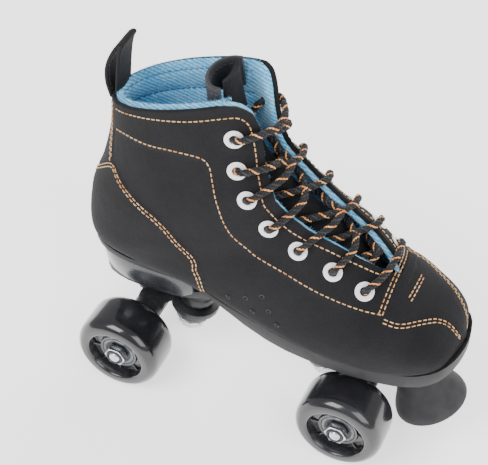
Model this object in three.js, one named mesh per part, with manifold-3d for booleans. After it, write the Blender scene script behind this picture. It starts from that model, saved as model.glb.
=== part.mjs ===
// A quad roller skate for the left foot: a lined and laced boot on a moulded plate, two sprung trucks
// with four wheels on ball bearings, and a toe stop.
// Millimetres. +X points to the toe, +Y to the outer side of the foot, +Z up. Everything is drawn about
// the middle of the wheelbase on the ground, then slid along X so that the origin is under the middle.
import * as THREE from "three";
import { ParametricGeometry } from "three/addons/geometries/ParametricGeometry.js";
import { mergeVertices } from "three/addons/utils/BufferGeometryUtils.js";
import Module from "manifold-3d";

// ---------- driving dimensions ----------
const gap = 0.3; // clearance between pieces that touch
const layerGap = 0.45; // between the boot's layers, whose curved faces are only nearly parallel

const bootLength = 254; // heel to toe
const bootWidth = 90; // across the ball of the foot
const upperThickness = 2;
const liningThickness = 3.5;
const tongueThickness = 3.2;
const tongueHalfWidth = 23; // along its curve
const tongueSlack = 2.9; // room for the lace to run straight over the tongue's crown
const insoleThickness = 4;
const eyeletBore = 5.5;
const eyeletFlange = 11.6;
const laceDiameter = 4;

const wheelDiameter = 58;
const wheelWidth = 32;
const wheelbase = 155;
const track = 84; // between the middles of the two wheels on an axle
const hubRecess = 5.7; // from a wheel's face to its bearing
const hubRecessRadius = 16;
const bearingOuter = 22;
const bearingWidth = 7;
const axleDiameter = 8;
const axleNutAcrossCorners = 15;
const axleNutHeight = 5;

const plateRise = 41; // from the axles up to the top of the plate
const plateThickness = 6;
const kingpinTilt = THREE.MathUtils.degToRad(12);
const kingpinDiameter = 10;
const kingpinInboard = 32; // from the axle to the middle of the hanger's ring
const ringRise = 13; // the ring's middle over the axle
const ringRadius = 16.5;
const ringThickness = 5;
const cushionRadius = 13;
const cushionHeight = 10;
const pivotOutboard = 2; // from the axle to the tip of the pivot pin
const pivotPinTilt = THREE.MathUtils.degToRad(17.5);
const pivotRadius = 4;
const pivotCupRadius = 6.5;

const stopTilt = THREE.MathUtils.degToRad(25);
const stopAhead = 45; // from the front axle to the middle of the stop's face
const stopDrop = 8.5; // the face's middle under the axles
const stopRadius = 24;
const stopHeight = 28;
const stemDiameter = 14;
const jamNutHeight = 6.5;
const jamNutAcrossCorners = 23;

const boltDiameter = 6;
const boltAhead = 15.5; // mounting bolts, from each axle towards the middle
const boltSide = 14;

// ---------- worked out from them ----------
const axleHeight = wheelDiameter / 2;
const plateTop = axleHeight + plateRise;
const plateUnder = plateTop - plateThickness;
const lengthwise = bootLength / 254; // the outlines below are drawn for a boot of 254 by 90
const widthwise = bootWidth / 90;
const liningDepth = upperThickness + layerGap; // depths are measured inwards from the boot's outer face
const liningInside = liningDepth + liningThickness;
const laceDepth = liningInside + layerGap + laceDiameter / 2 + 0.5;
const tongueDepth = laceDepth + laceDiameter / 2 + tongueSlack;
const laceOver = laceDiameter / 2 + 0.8; // height of the lace's middle over the flaps

// ---------- materials ----------
const finish = (color, roughness, metalness = 0) =>
  new THREE.MeshStandardMaterial({ color, roughness, metalness, flatShading: true });
const nubuck = finish(0x2b2b2d, 0.9);
const terry = finish(0x62b4e4, 1);
const webbing = finish(0x1b1b1d, 0.85);
const laceCord = finish(0x16130f, 0.9);
const soleRubber = finish(0x17181a, 0.6);
const heelPlastic = finish(0x1d1f22, 0.25);
const insoleFoam = finish(0x3f7fae, 1);
const platePlastic = finish(0x151618, 0.45);
const castAluminium = finish(0x2a2c2f, 0.45, 0.6);
const zincSteel = finish(0xc9ccd0, 0.28, 1);
const bearingSteel = finish(0xb4b8bd, 0.3, 1);
const whiteEnamel = finish(0xf2f2f0, 0.35, 0.2);
const urethane = finish(0x101113, 0.22);
const cushionUrethane = finish(0x1c1c1e, 0.4);
const cupUrethane = finish(0x242426, 0.5);
const stopRubber = finish(0x141415, 0.75);

// ---------- solids ----------
const wasm = await Module();
wasm.setup();

// A closed geometry as a solid that can be joined and cut, its faces turned outwards.
function solid(geometry) {
  const bare = geometry.index ? geometry.toNonIndexed() : geometry.clone();
  const shape = new THREE.BufferGeometry();
  shape.setAttribute("position", bare.getAttribute("position"));
  const merged = mergeVertices(shape, 1e-3);
  const corners = [];
  for (let i = 0; i < merged.index.count; i += 3) {
    const [a, b, c] = [0, 1, 2].map((k) => merged.index.getX(i + k));
    if (a !== b && b !== c && c !== a) corners.push(a, b, c);
  }
  const build = (triVerts) => {
    const vertProperties = merged.attributes.position.array;
    return new wasm.Manifold(new wasm.Mesh({ numProp: 3, vertProperties, triVerts }));
  };
  const made = build(new Uint32Array(corners));
  return made.volume() < 0 ? build(new Uint32Array(corners.reverse())) : made;
}

function join(...geometries) {
  return geometries.map(solid).reduce((all, next) => all.add(next));
}

function cut(body, ...tools) {
  return tools.reduce((left, tool) => left.subtract(solid(tool)), body);
}

function geometryOf(made) {
  const { vertProperties, triVerts } = made.getMesh();
  const geometry = new THREE.BufferGeometry();
  geometry.setAttribute("position", new THREE.BufferAttribute(vertProperties, 3));
  return geometry.setIndex(new THREE.BufferAttribute(triVerts, 1));
}

// Adds one named piece, from a solid or a closed geometry, to a group.
function piece(group, name, shape, material) {
  const made = new THREE.Mesh(geometryOf(shape.isBufferGeometry ? solid(shape) : shape), material);
  made.name = name;
  group.add(made);
}

// A solid of revolution about Z from [radius, height] points.
function turned(points, segments = 16) {
  const profile = points.map(([radius, height]) => new THREE.Vector2(radius, height));
  const phase = Math.PI / segments;
  return new THREE.LatheGeometry(profile, segments, phase).rotateX(Math.PI / 2);
}

// A ring, or a rod where inner is 0, from bottom to top along Z.
function ring(inner, outer, bottom, top, segments = 16) {
  const points = [[inner, bottom], [outer, bottom], [outer, top], [inner, top]];
  return turned(inner > 0 ? [...points, points[0]] : points, segments);
}

// A hexagonal nut along Z.
function hexNut(bore, acrossCorners, bottom, top) {
  const blank = ring(0, acrossCorners / 2, bottom, top, 6);
  return cut(solid(blank), ring(0, bore / 2, bottom - 1, top + 1, 12));
}

// A clockwise side outline of [x, z] points, as deep as width along Y, with an anticlockwise hole.
function sideways(points, width, hole = []) {
  const shape = new THREE.Shape(points.map(([x, z]) => new THREE.Vector2(x, z)));
  if (hole.length) shape.holes.push(new THREE.Path(hole.map(([x, z]) => new THREE.Vector2(x, z))));
  const made = new THREE.ExtrudeGeometry(shape, { depth: width, bevelEnabled: false });
  return made.rotateX(Math.PI / 2).translate(0, width / 2, 0);
}

// A plan outline of [x, y] points from bottom to top.
function upwards(points, bottom, top) {
  const shape = new THREE.Shape(points.map(([x, y]) => new THREE.Vector2(x, y)));
  const made = new THREE.ExtrudeGeometry(shape, { depth: top - bottom, bevelEnabled: false });
  return made.translate(0, 0, bottom);
}

// A smooth closed outline through [x, y] points.
function smoothLoop(points, count) {
  const corners = points.map(([x, y]) => new THREE.Vector3(x, y, 0));
  const curve = new THREE.CatmullRomCurve3(corners, true, "centripetal");
  return curve.getPoints(count).slice(0, -1).map((p) => [p.x, p.y]);
}

// Places a geometry drawn about Z: tilted about Y, then moved.
function placed(geometry, tilt, x, y, z) {
  return geometry.clone().rotateY(tilt).translate(x, y, z);
}

// ---------- the last: the shape of the boot ----------
// Stations from the collar to the tip of the toe. Each is a slanting section from the back or bottom of the
// boot (x, z over the plate) to its front or top, with its half widths on the inner and outer side of the
// foot, the share of its height where it is widest, the squareness of its lower half and of its upper half
// on each side, and the sideways place of its bottom and of its top.
const stations = [
  [-93, 135, 10, 173, 26, 28, 0.48, 2.2, 2.2, 2.2, 3, 2],
  [-95, 114, 12, 149, 28, 29, 0.48, 2.2, 2.1, 2.1, 2.5, 0],
  [-102, 88, 18, 128, 31, 32, 0.48, 2.1, 2.0, 2.2, 2, -2],
  [-112, 60, 30, 115, 33, 34, 0.46, 2.1, 2.0, 2.5, 1, -4],
  [-111, 28, 44, 105, 34, 35, 0.4, 2.5, 1.9, 2.6, 0, -5],
  [-82, 22, 57, 96, 34, 36, 0.34, 3.4, 1.8, 2.6, 0, -5],
  [-34, 20, 70, 87, 36, 38, 0.3, 4.2, 1.8, 2.5, 0, -5],
  [8, 10, 82, 77, 39, 42, 0.28, 4.2, 1.9, 2.2, 0, -5],
  [44, 6, 93, 66, 43, 44, 0.28, 4.2, 2.0, 2.0, 0, -5],
  [74, 6, 104, 58, 44, 43, 0.3, 4.0, 2.2, 2.2, -1, -5],
  [98, 8, 114, 50, 41, 39, 0.32, 3.6, 2.3, 2.3, -2.5, -5],
  [118, 11, 126, 42, 34, 32, 0.35, 3.0, 2.4, 2.4, -4, -5],
  [131, 15, 134, 34, 24, 22, 0.4, 2.5, 2.3, 2.3, -5, -5],
  [138, 22, 138, 26, 3, 3, 0.5, 2.0, 2.0, 2.0, -6, -6],
];
const toe = stations.length - 1;
// Where a body inside the boot ends its sections short of the tip of the toe, by its layer.
const toeOf = { outside: toe, upperInside: toe - 0.5, liningInside: toe - 1.4 };
const throatEnd = 8.1; // the station where the throat closes
// Half widths of the throat as [station, mm] on the inner and outer side.
const innerFlapEdge = [
  [0, 23], [0.2, 19], [0.5, 15], [0.9, 12.6], [1.5, 12.6], [2.2, 14.5], [3.2, 18], [5, 15.5], [6.5, 13],
  [7.6, 9], [throatEnd, 2],
];
const outerFlapEdge = [
  [0, 21], [0.2, 17.5], [0.5, 14.5], [0.9, 12.4], [2, 13], [3.2, 15], [4.2, 13], [5.2, 10], [6.4, 9],
  [7.6, 6], [throatEnd, 2],
];

// A smooth value between table rows.
function between(row, t) {
  const s = THREE.MathUtils.clamp(t, 0, toe);
  const i = Math.min(Math.floor(s), toe - 1);
  const f = s - i;
  const at = (k) => stations[THREE.MathUtils.clamp(k, 0, toe)][row];
  const [p0, p1, p2, p3] = [at(i - 1), at(i), at(i + 1), at(i + 2)];
  const bend = (2 * p0 - 5 * p1 + 4 * p2 - p3) * f * f + (-p0 + 3 * p1 - 3 * p2 + p3) * f ** 3;
  return (2 * p1 + (p2 - p0) * f + bend) / 2;
}

function tableValue(table, s) {
  const i = Math.max(1, table.findIndex(([at]) => at >= s));
  const [[s0, v0], [s1, v1]] = [table[i - 1], table[i]];
  return v0 + ((v1 - v0) * (s - s0)) / (s1 - s0);
}

const power = (value, exponent) => Math.sign(value) * Math.abs(value) ** exponent;

// A point of the boot at a station, at an angle from the top line (positive on the inner side of the
// foot), and at a depth under its outer face.
function bootPoint(s, angle, depth = 0) {
  const [bx, bz, fx, fz, wi, wo, widest, low, highIn, highOut, yLow, yHigh] =
    stations[0].map((_, row) => between(row, s));
  const inner = Math.sin(angle) >= 0;
  const upper = Math.cos(angle) >= 0;
  const squareness = upper ? (inner ? highIn : highOut) : low;
  const c = power(Math.cos(angle), 2 / squareness);
  const w = power(Math.sin(angle), 2 / squareness);
  const back = new THREE.Vector2(bx * lengthwise, bz);
  const height = new THREE.Vector2(fx * lengthwise, fz).sub(back);
  const tall = height.length();
  const reach = (upper ? 1 - widest : widest) * tall - depth;
  const up = widest * tall + Math.max(reach, 0.5) * c;
  const half = Math.max((inner ? wi : wo) * widthwise - depth, 0.5);
  const along = back.addScaledVector(height, up / tall);
  const y = yLow + ((yHigh - yLow) * up) / tall - half * w;
  return new THREE.Vector3(along.x, y, plateTop + along.y);
}

// The same, by the distance across from the top line: negative on the inner side of the foot.
function flapPoint(s, across, depth = 0) {
  const inner = across < 0;
  const half = between(inner ? 4 : 5, s) * widthwise;
  const squareness = between(inner ? 8 : 9, s);
  const sine = Math.min(Math.abs(across) / half, 1) ** (squareness / 2);
  return bootPoint(s, (inner ? 1 : -1) * Math.asin(sine), depth);
}

const shaftUp = bootPoint(0, 0).sub(bootPoint(1, 0)).setY(0).normalize();

// The whole boot as one closed body, its face moved inwards by depth, up to the section at last.
// lift carries it on over the collar.
function bootBody(depth, last, lift = 0, around = 22, along = 22) {
  const middle = (s) => bootPoint(s, 0, depth).add(bootPoint(s, Math.PI, depth)).multiplyScalar(0.5);
  const rows = along + 3;
  const shape = (u, v, target) => {
    const row = Math.round(v * rows) - 2;
    const s = (THREE.MathUtils.clamp(row, 0, along) / along) * last;
    if (row === -2) target.copy(middle(0));
    else if (row > along) target.copy(middle(last)).setX(middle(last).x + 1 - Math.min(depth, 0));
    else target.copy(bootPoint(s, Math.PI * 2 * u, depth));
    if (row < 0) target.addScaledVector(shaftUp, lift);
  };
  return new ParametricGeometry(shape, around, rows);
}

// A closed strip of the boot's skin from one station to another, between two lines across and two depths.
// lift carries its first end on over the collar. Sections where open(s) is over 0 open out flatter and
// wider, and move back by lean(s) towards the heel.
function skinStrip(from, to, innerLine, outerLine, topDepth, bottomDepth, options) {
  const { along, across, lift = 0, lean = () => 0, open = () => 0 } = options;
  const rows = along + 2;
  const point = (s, t, depth) => flapPoint(s, THREE.MathUtils.lerp(-innerLine(s), outerLine(s), t), depth);
  const shape = (u, v, target) => {
    const row = THREE.MathUtils.clamp(Math.round(v * rows) - 1, 0, along);
    const s = THREE.MathUtils.lerp(from, to, row / along);
    const end = v === 0 || v === 1;
    const k = Math.round(u * 2 * (across + 1)) % (2 * (across + 1));
    const t = end ? 0.5 : (k <= across ? k : 2 * across + 1 - k) / across;
    const top = topDepth(s);
    const depth = end ? (top + bottomDepth(s)) / 2 : k <= across ? top : bottomDepth(s);
    const ridge = flapPoint(s, 0, depth);
    const bend = point(s, t, depth).sub(ridge);
    target.set(1 - 0.5 * open(s), 1 + 0.8 * open(s), 1 - 0.5 * open(s)).multiply(bend).add(ridge);
    target.x -= lean(s);
    if (row === 0) target.addScaledVector(shaftUp, lift);
  };
  return new ParametricGeometry(shape, 2 * (across + 1), rows);
}

// ---------- eyelets and lace ----------
const innerEyelets = [[7.5, 23], [6.45, 23], [5.4, 22.5], [4.15, 23], [2.9, 24], [1.85, 22.5], [0.95, 21]];
const outerEyelets = [[7.5, 16.5], [6.45, 17.5], [5.4, 18.5], [4.15, 21], [2.9, 22], [1.85, 20.5], [0.95, 19]];

// An eyelet's place on the boot: its station and distance across, its middle and the way it faces.
function eyeletSeat([s, out], side) {
  const across = side * out;
  const middle = flapPoint(s, across);
  const alongSkin = flapPoint(s + 0.1, across).sub(flapPoint(s - 0.1, across));
  const acrossSkin = flapPoint(s, across + 1).sub(flapPoint(s, across - 1));
  const facing = new THREE.Vector3().crossVectors(acrossSkin, alongSkin).normalize();
  if (facing.z < 0) facing.negate();
  return { s, across, middle, facing };
}

const seats = {
  inner: innerEyelets.map((place) => eyeletSeat(place, -1)),
  outer: outerEyelets.map((place) => eyeletSeat(place, 1)),
};

// A geometry drawn about Z, stood on an eyelet's seat.
function onSeat(geometry, seat) {
  const turn = new THREE.Quaternion().setFromUnitVectors(new THREE.Vector3(0, 0, 1), seat.facing);
  return geometry.clone().applyQuaternion(turn).translate(...seat.middle);
}

// A point over a seat, or under it where height is negative, and aside of it towards another point.
function nearSeat(seat, height, aside = 0, towards = seat.middle) {
  const step = towards.clone().sub(seat.middle).projectOnPlane(seat.facing).normalize();
  return seat.middle.clone().addScaledVector(seat.facing, height).addScaledVector(step, aside);
}

// The lace coming up through an eyelet and laid over its flange towards another point, and the same from
// under the flap: [height, aside] in mm from the eyelet's middle.
const overSeat = (seat, towards) =>
  [[-3.4, 0], [-1, 0], [1.2, 0.1], [3.2, 1.3], [4, 3.6]].map(([h, t]) => nearSeat(seat, h, t, towards));
const underSeat = (seat, towards) =>
  [[-laceDepth - 0.3, 4.6], [-laceDepth + 0.3, 2.2], [-6.4, 0.6]].map(([h, t]) => nearSeat(seat, h, t, towards));

// One crossing of the lace, out of one eyelet, over its own flap, down across the tongue, under the other
// flap and up into the next eyelet. dip is its depth at the middle, where two crossings pass each other.
function crossing(from, to, dip) {
  const side = Math.sign(from.across);
  const station = (t) => THREE.MathUtils.lerp(from.s, to.s, t);
  const point = (t, across, depth) => flapPoint(station(t), across, depth);
  const ownEdge = tableValue(side < 0 ? innerFlapEdge : outerFlapEdge, station(0.25));
  const farEdge = tableValue(side < 0 ? outerFlapEdge : innerFlapEdge, station(0.75));
  const [leaving, arriving] = [point(0.25, side * ownEdge, 0), point(0.75, -side * farEdge, 0)];
  return [
    ...overSeat(from, leaving),
    point(0.27, side * ownEdge, -laceOver),
    point(0.37, side * ownEdge * 0.55, (dip - laceOver) / 2),
    point(0.5, 0, dip),
    point(0.66, -side * (farEdge - 4.5), THREE.MathUtils.lerp(dip, laceDepth, 0.95)),
    point(0.77, -side * farEdge, laceDepth),
    ...underSeat(to, arriving),
  ];
}

// The lowest crossings lie under both flaps, from one eyelet down and up into the other.
function lowCrossing(from, to, dip) {
  const point = (t, across, depth) => flapPoint(THREE.MathUtils.lerp(from.s, to.s, t), across, depth);
  const first = point(0.3, from.across * 0.42, laceDepth);
  const middle = point(0.5, 0, dip);
  const last = point(0.7, to.across * 0.42, laceDepth);
  return [...underSeat(from, first).reverse(), first, middle, last, ...underSeat(to, last)];
}

// The lace from its tucked inner end, down one side of the crossings, over the bottom bar and up the other.
function laceRoute() {
  const { inner, outer } = seats;
  const [over, under] = [-0.6, laceDepth - 2.4]; // depths at the middle, where two crossings pass
  const climb = (first, second, crossings) =>
    Array.from({ length: crossings }, (_, k) =>
      k % 2 ? crossing(first[k + 1], second[k + 2], over) : crossing(second[k + 1], first[k + 2], under),
    ).flat();
  const up = [...lowCrossing(inner[0], outer[1], laceDepth - 4.6), ...climb(inner, outer, 5)];
  const down = [...lowCrossing(outer[0], inner[1], laceDepth), ...climb(outer, inner, 4)].reverse();
  const tuckedEnd = [
    flapPoint(3.4, 33, laceDepth),
    flapPoint(3.1, 28, laceDepth),
    flapPoint(2.75, 20, laceDepth),
    flapPoint(2.5, 12, laceDepth),
    flapPoint(2.3, 0, laceDepth - 3),
    flapPoint(2.1, -9, 0.5),
    flapPoint(2, -13.5, -laceOver),
    ...overSeat(inner[5], flapPoint(2, -13, 0)).reverse(),
  ];
  const bottomBar = [
    ...overSeat(outer[0], flapPoint(7.55, 8, 0)),
    flapPoint(7.5, 8, -laceOver - 1),
    flapPoint(7.5, 0, -laceOver - 1),
    flapPoint(7.5, -8, -laceOver - 1),
    flapPoint(7.5, -15, -laceOver - 1),
    ...overSeat(inner[0], flapPoint(7.5, -15, 0)).reverse(),
  ];
  const topEnd = [
    ...overSeat(inner[6], flapPoint(1, -13, 0)),
    flapPoint(1, -13, -laceOver),
    flapPoint(1.05, -6, -laceOver),
    flapPoint(1.05, 4, -laceOver),
    flapPoint(1, 12, -laceOver),
    ...overSeat(outer[6], flapPoint(1, 12, 0)).reverse(),
    ...underSeat(outer[6], flapPoint(1.7, 26, 0)).reverse(),
    flapPoint(1.7, 27, laceDepth - 0.4),
    flapPoint(2.2, 31, laceDepth - 0.4),
    flapPoint(2.5, 33, laceDepth - 0.4),
  ];
  return [...tuckedEnd, ...down, ...bottomBar, ...up, ...topEnd];
}

function lace(group) {
  const route = new THREE.CatmullRomCurve3(laceRoute(), false, "centripetal");
  route.getUtoTmapping = (u) => u; // one step from each point of the route to the next
  const section = new THREE.Shape();
  section.absarc(0, 0, laceDiameter / 2, 0, Math.PI * 2);
  const steps = route.points.length - 1;
  const tube = new THREE.ExtrudeGeometry(section, { steps, curveSegments: 3, extrudePath: route });
  piece(group, "lace", tube, laceCord);
}

function eyelets(group) {
  const bore = eyeletBore / 2;
  const barrel = bore + 0.55;
  const flange = eyeletFlange / 2;
  const lift = 0.35; // the flat flange stands this far off the curved skin at its middle
  const profile = [
    [bore, -upperThickness], [barrel, -upperThickness], [barrel, lift], [flange, lift],
    [flange - 0.3, lift + 0.8], [bore, lift + 0.8], [bore, -upperThickness],
  ];
  for (const side of ["inner", "outer"]) {
    seats[side].forEach((seat, k) => {
      piece(group, `eyelet_${side}_${k + 1}`, onSeat(turned(profile, 10), seat), whiteEnamel);
    });
  }
}

const eyeletHoles = () => {
  const hole = ring(0, eyeletBore / 2 + 0.55 + gap, -liningInside - 4, 5, 10);
  return [...seats.inner, ...seats.outer].map((seat) => onSeat(hole, seat));
};

// ---------- boot ----------
const innerEdgeAt = (s) => tableValue(innerFlapEdge, THREE.MathUtils.clamp(s, 0, throatEnd));
const outerEdgeAt = (s) => tableValue(outerFlapEdge, THREE.MathUtils.clamp(s, 0, throatEnd));

function throatCutter() {
  const size = { along: 20, across: 3, lift: 8 };
  return skinStrip(0, throatEnd, innerEdgeAt, outerEdgeAt, () => -7, () => liningInside + 3, size);
}

function shell(body, hollow) {
  return cut(solid(body), hollow, throatCutter(), ...eyeletHoles());
}

const upperShell = () =>
  shell(bootBody(0, toeOf.outside), bootBody(upperThickness, toeOf.upperInside, 12));
const liningShell = () =>
  shell(bootBody(liningDepth, toeOf.upperInside), bootBody(liningInside, toeOf.liningInside, 12));

// The underside of the boot along its middle, as [x, height over the plate].
const underfoot = [
  [-116, 32], [-105, 23.7], [-85, 22.2], [-45, 20.8], [-25, 18.2], [-15, 15.7], [-5, 12.7], [5, 10.2],
  [15, 8.6], [35, 6.5], [55, 5.6], [75, 6], [95, 7.5], [115, 10.1], [125, 12.2], [135, 16.5], [142, 26],
];
const alongUnderfoot = (rise) => underfoot.map(([x, z]) => [x * lengthwise, plateTop + z + rise]);

function insole(group) {
  const depth = liningInside + layerGap;
  const band = [...alongUnderfoot(-5), ...alongUnderfoot(depth + insoleThickness).reverse()];
  const made = solid(bootBody(depth, toeOf.liningInside)).intersect(solid(sideways(band, 2 * bootWidth)));
  piece(group, "insole", made, insoleFoam);
}

function tongue(group) {
  const half = (s) => tongueHalfWidth - 11 * open(s) - 5 * THREE.MathUtils.smoothstep(s, 4, 8);
  const base = liningInside + layerGap;
  const open = (s) => THREE.MathUtils.smoothstep(2.4 - s, 0, 2.4);
  const lean = (s) => 12 * open(s);
  const top = (s) => THREE.MathUtils.lerp(tongueDepth, base, THREE.MathUtils.smoothstep(s, 7.9, 8.7));
  const bottom = (s) => top(s) + tongueThickness;
  const strip = skinStrip(0, 9, half, half, top, bottom, { along: 18, across: 6, lift: 3, lean, open });
  // The pull loop is a band of the tongue's own facing behind its top, sewn down at both sides and bowed out
  // between them. It is drawn flat, as [back, across] mm, and stands along the shaft.
  const crest = flapPoint(0, 0, bottom(0)).addScaledVector(shaftUp, -16);
  crest.x -= lean(0);
  const outside = [
    [1.5, -14], [-2.5, -15], [-7, -11.5], [-10.2, -5], [-10.8, 0], [-10.2, 5], [-7, 11.5], [-2.5, 15], [1.5, 14],
  ];
  const eye = [[-3.2, 11], [-6.2, 8], [-8.4, 0], [-6.2, -8], [-3.2, -11], [-1.5, -6], [-0.7, 0], [-1.5, 6]];
  const band = new THREE.Shape(outside.map(([x, y]) => new THREE.Vector2(x, y)));
  band.holes.push(new THREE.Path(eye.map(([x, y]) => new THREE.Vector2(x, y))));
  const shaftTilt = Math.atan2(shaftUp.x, shaftUp.z);
  const folded = new THREE.ExtrudeGeometry(band, { depth: 20, bevelEnabled: false });
  folded.rotateY(shaftTilt).translate(...crest);
  piece(group, "tongue", join(strip, folded), webbing);
}

function heelPullLoop(group) {
  const collar = bootPoint(0, Math.PI);
  const outside = [[-1, -1], [-4.5, 8], [-5, 20], [0, 33], [7, 40], [11.5, 41.5]];
  const inside = [[11.5, 38.5], [8, 30], [7, 18], [6, 8], [4.5, -1]];
  const eye = [[3.4, 7], [4.2, 16], [5.2, 27], [6.4, 36], [2, 30.5], [-2, 20], [-1.8, 12], [1.2, 5]];
  const strap = sideways([...outside, ...inside], 18, eye).translate(...collar);
  // Its foot is trimmed to stand on the slanting rim of the collar.
  piece(group, "heel_pull_loop", cut(solid(strap), bootBody(-layerGap, toeOf.outside, layerGap)), webbing);
}

// The sole's plan outline, with the inner side of the foot first.
const soleOutline = smoothLoop([
  [-114, 0], [-109, -13], [-97, -22.5], [-78, -26.5], [-40, -26.5], [-18, -29], [5, -33], [30, -38],
  [60, -41], [90, -41], [112, -39.5], [127, -35.5], [136, -27], [140, -14], [140, -2], [136, 14],
  [126, 26], [112, 32], [90, 36], [60, 39.5], [30, 38.5], [5, 35], [-18, 31], [-40, 28], [-78, 28],
  [-97, 23.5], [-109, 13.5],
], 64).map(([x, y]) => [x * lengthwise, y * widthwise]);
// The lower and upper edge of the sole's wall, as [x, height over the plate].
const soleUnder = [
  [-122, 22.5], [-110, 20.6], [-95, 19.6], [-40, 17.4], [-25, 14], [-10, 9], [5, 4], [20, 1.4], [35, gap],
  [78, gap], [95, 1.6], [110, 3.8], [122, 7], [132, 11.5], [139, 17], [146, 25],
];
const soleTop = [
  [-122, 26], [-84, 23], [-40, 21], [-14, 17.5], [14, 12.5], [44, 10], [76, 9.5], [100, 12],
  [118, 16], [131, 21], [146, 29],
];
const overPlate = (points) => points.map(([x, z]) => [x * lengthwise, plateTop + z]);

const boltPlaces = [1, -1].flatMap((end) =>
  [1, -1].map((side) => {
    const x = end * (wheelbase / 2 - boltAhead);
    const name = `mount_bolt_${end > 0 ? "front" : "rear"}_${side > 0 ? "outer" : "inner"}`;
    return { name, x, y: side * boltSide, depth: end > 0 ? 4.3 : 12 };
  }),
);
const boltHoles = () =>
  boltPlaces.map(({ x, y, depth }) => {
    const hole = ring(0, boltDiameter / 2 + gap, plateUnder - 1, plateTop + depth + gap, 10);
    return hole.translate(x, y, 0);
  });

function sole(group) {
  const wall = sideways([...overPlate(soleUnder), ...overPlate(soleTop).reverse()], 2 * bootWidth);
  const block = solid(upwards(soleOutline, plateTop, plateTop + 60)).intersect(solid(wall));
  piece(group, "outsole", cut(block, bootBody(-layerGap, toeOf.outside), ...boltHoles()), soleRubber);

  const heelPlan = smoothLoop([[-112, 0], [-108, -12.5], [-97, -21.5], [-80, -26.5], [-60, -26], [-39, -23],
    [-37, 0], [-39, 25], [-60, 27.5], [-80, 27.5], [-97, 22.5], [-108, 13]], 40).map(([x, y]) => [x * lengthwise, y * widthwise]);
  const heel = upwards(heelPlan, 0, 1);
  const corners = heel.getAttribute("position");
  const [bottom, top] = [plateTop + gap, plateTop + 30];
  for (let i = 0; i < corners.count; i += 1) {
    const rise = corners.getZ(i);
    const taper = 1 - 0.06 * (1 - rise);
    const front = -37 * lengthwise;
    corners.setXYZ(i, front + (corners.getX(i) - front) * taper, corners.getY(i) * taper,
      THREE.MathUtils.lerp(bottom, top, rise));
  }
  const under = overPlate(soleUnder).map(([x, z]) => [x, z - gap]);
  const room = sideways([...under, [150, plateTop + 80], [-150, plateTop + 80]], 2 * bootWidth);
  piece(group, "heel_block", cut(solid(heel), room, ...boltHoles()), heelPlastic);
}

// ---------- plate ----------
const stopX = wheelbase / 2 + stopAhead;
const stopZ = axleHeight - stopDrop;
const onStop = (geometry) => placed(geometry, -stopTilt, stopX, 0, stopZ);
// Distances up the stem from the stop's face, to the underside and the top of the plate.
const stemAtPlate = (plateUnder - stopZ) / Math.cos(stopTilt);
const stopBoss = stopHeight + gap + 2 + jamNutHeight + gap;

const ringHeight = axleHeight + ringRise;
const pivotHeight = ringHeight + (kingpinInboard + pivotOutboard) * Math.tan(kingpinTilt);
const cushionTop = ringThickness / 2 + gap + cushionHeight;
// Distance up the kingpin from the ring's middle to the underside of the plate.
const kingpinToPlate = (plateUnder - ringHeight) / Math.cos(kingpinTilt);

// Pieces of a truck are drawn about its axle with X outboard; end is 1 in front and -1 behind.
const onKingpin = (geometry) => placed(geometry, -kingpinTilt, -kingpinInboard, 0, ringHeight);
const onPivot = (geometry) => placed(geometry, pivotPinTilt, pivotOutboard, 0, pivotHeight);
const atEnd = (geometry, end) =>
  geometry.clone().rotateZ(end > 0 ? 0 : Math.PI).translate((end * wheelbase) / 2, 0, 0);

function plate(group) {
  const front = wheelbase / 2;
  const half = [
    [front + 38, 0], [front + 35, 10], [front + 24, 15], [front + 4, 17], [front - 14, 21], [front - 36, 19],
    [26, 13], [-26, 13], [-front + 36, 19], [-front + 14, 21], [-front - 10, 20], [-front - 24, 14],
    [-front - 28, 0],
  ];
  const outline = [...half, ...half.slice(1, -1).map(([x, y]) => [x, -y]).reverse()];
  const slab = upwards(smoothLoop(outline, 56), plateUnder, plateTop);
  const keel = sideways([[-34, plateUnder + 2], [-26, plateUnder - 8], [26, plateUnder - 8],
    [34, plateUnder + 2]], 16);
  const kingpinBoss = ring(0, cushionRadius - 1, cushionTop + gap, kingpinToPlate + 2, 16);
  const pivotBoss = ring(0, pivotCupRadius + 2.5, -3.2, 17, 16);
  const bosses = [1, -1].flatMap((end) => [atEnd(onKingpin(kingpinBoss), end), atEnd(onPivot(pivotBoss), end)]);
  const stemBoss = onStop(ring(0, stemDiameter / 2 + 5, stopBoss, stemAtPlate, 16));
  const kingpinHole = ring(0, kingpinDiameter / 2 + gap, 0, kingpinToPlate + 2, 12);
  const cupPocket = ring(0, pivotCupRadius + gap, -8, 7 + gap, 16);
  const holes = [1, -1].flatMap((end) => [atEnd(onKingpin(kingpinHole), end), atEnd(onPivot(cupPocket), end)]);
  const stemHole = onStop(ring(0, stemDiameter / 2 + gap, 20, stemAtPlate + 20, 16));
  const made = cut(join(slab, keel, ...bosses, stemBoss), ...holes, stemHole, ...boltHoles());
  piece(group, "plate", made, platePlastic);
}

function mountBolts(group) {
  const shank = boltDiameter / 2;
  for (const { name, x, y, depth } of boltPlaces) {
    const [head, top] = [plateUnder - gap, plateTop + depth];
    const profile = [[0, head - 3], [3.6, head - 3], [5.2, head - 1.2], [5.2, head], [shank, head],
      [shank, top], [0, top]];
    piece(group, name, turned(profile, 10).translate(x, y, 0), zincSteel);
  }
}

// ---------- trucks ----------
const bearingIn = wheelWidth / 2 - hubRecess; // a bearing's outer face, from the wheel's middle
const armEnd = track / 2 - bearingIn - gap;

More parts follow.
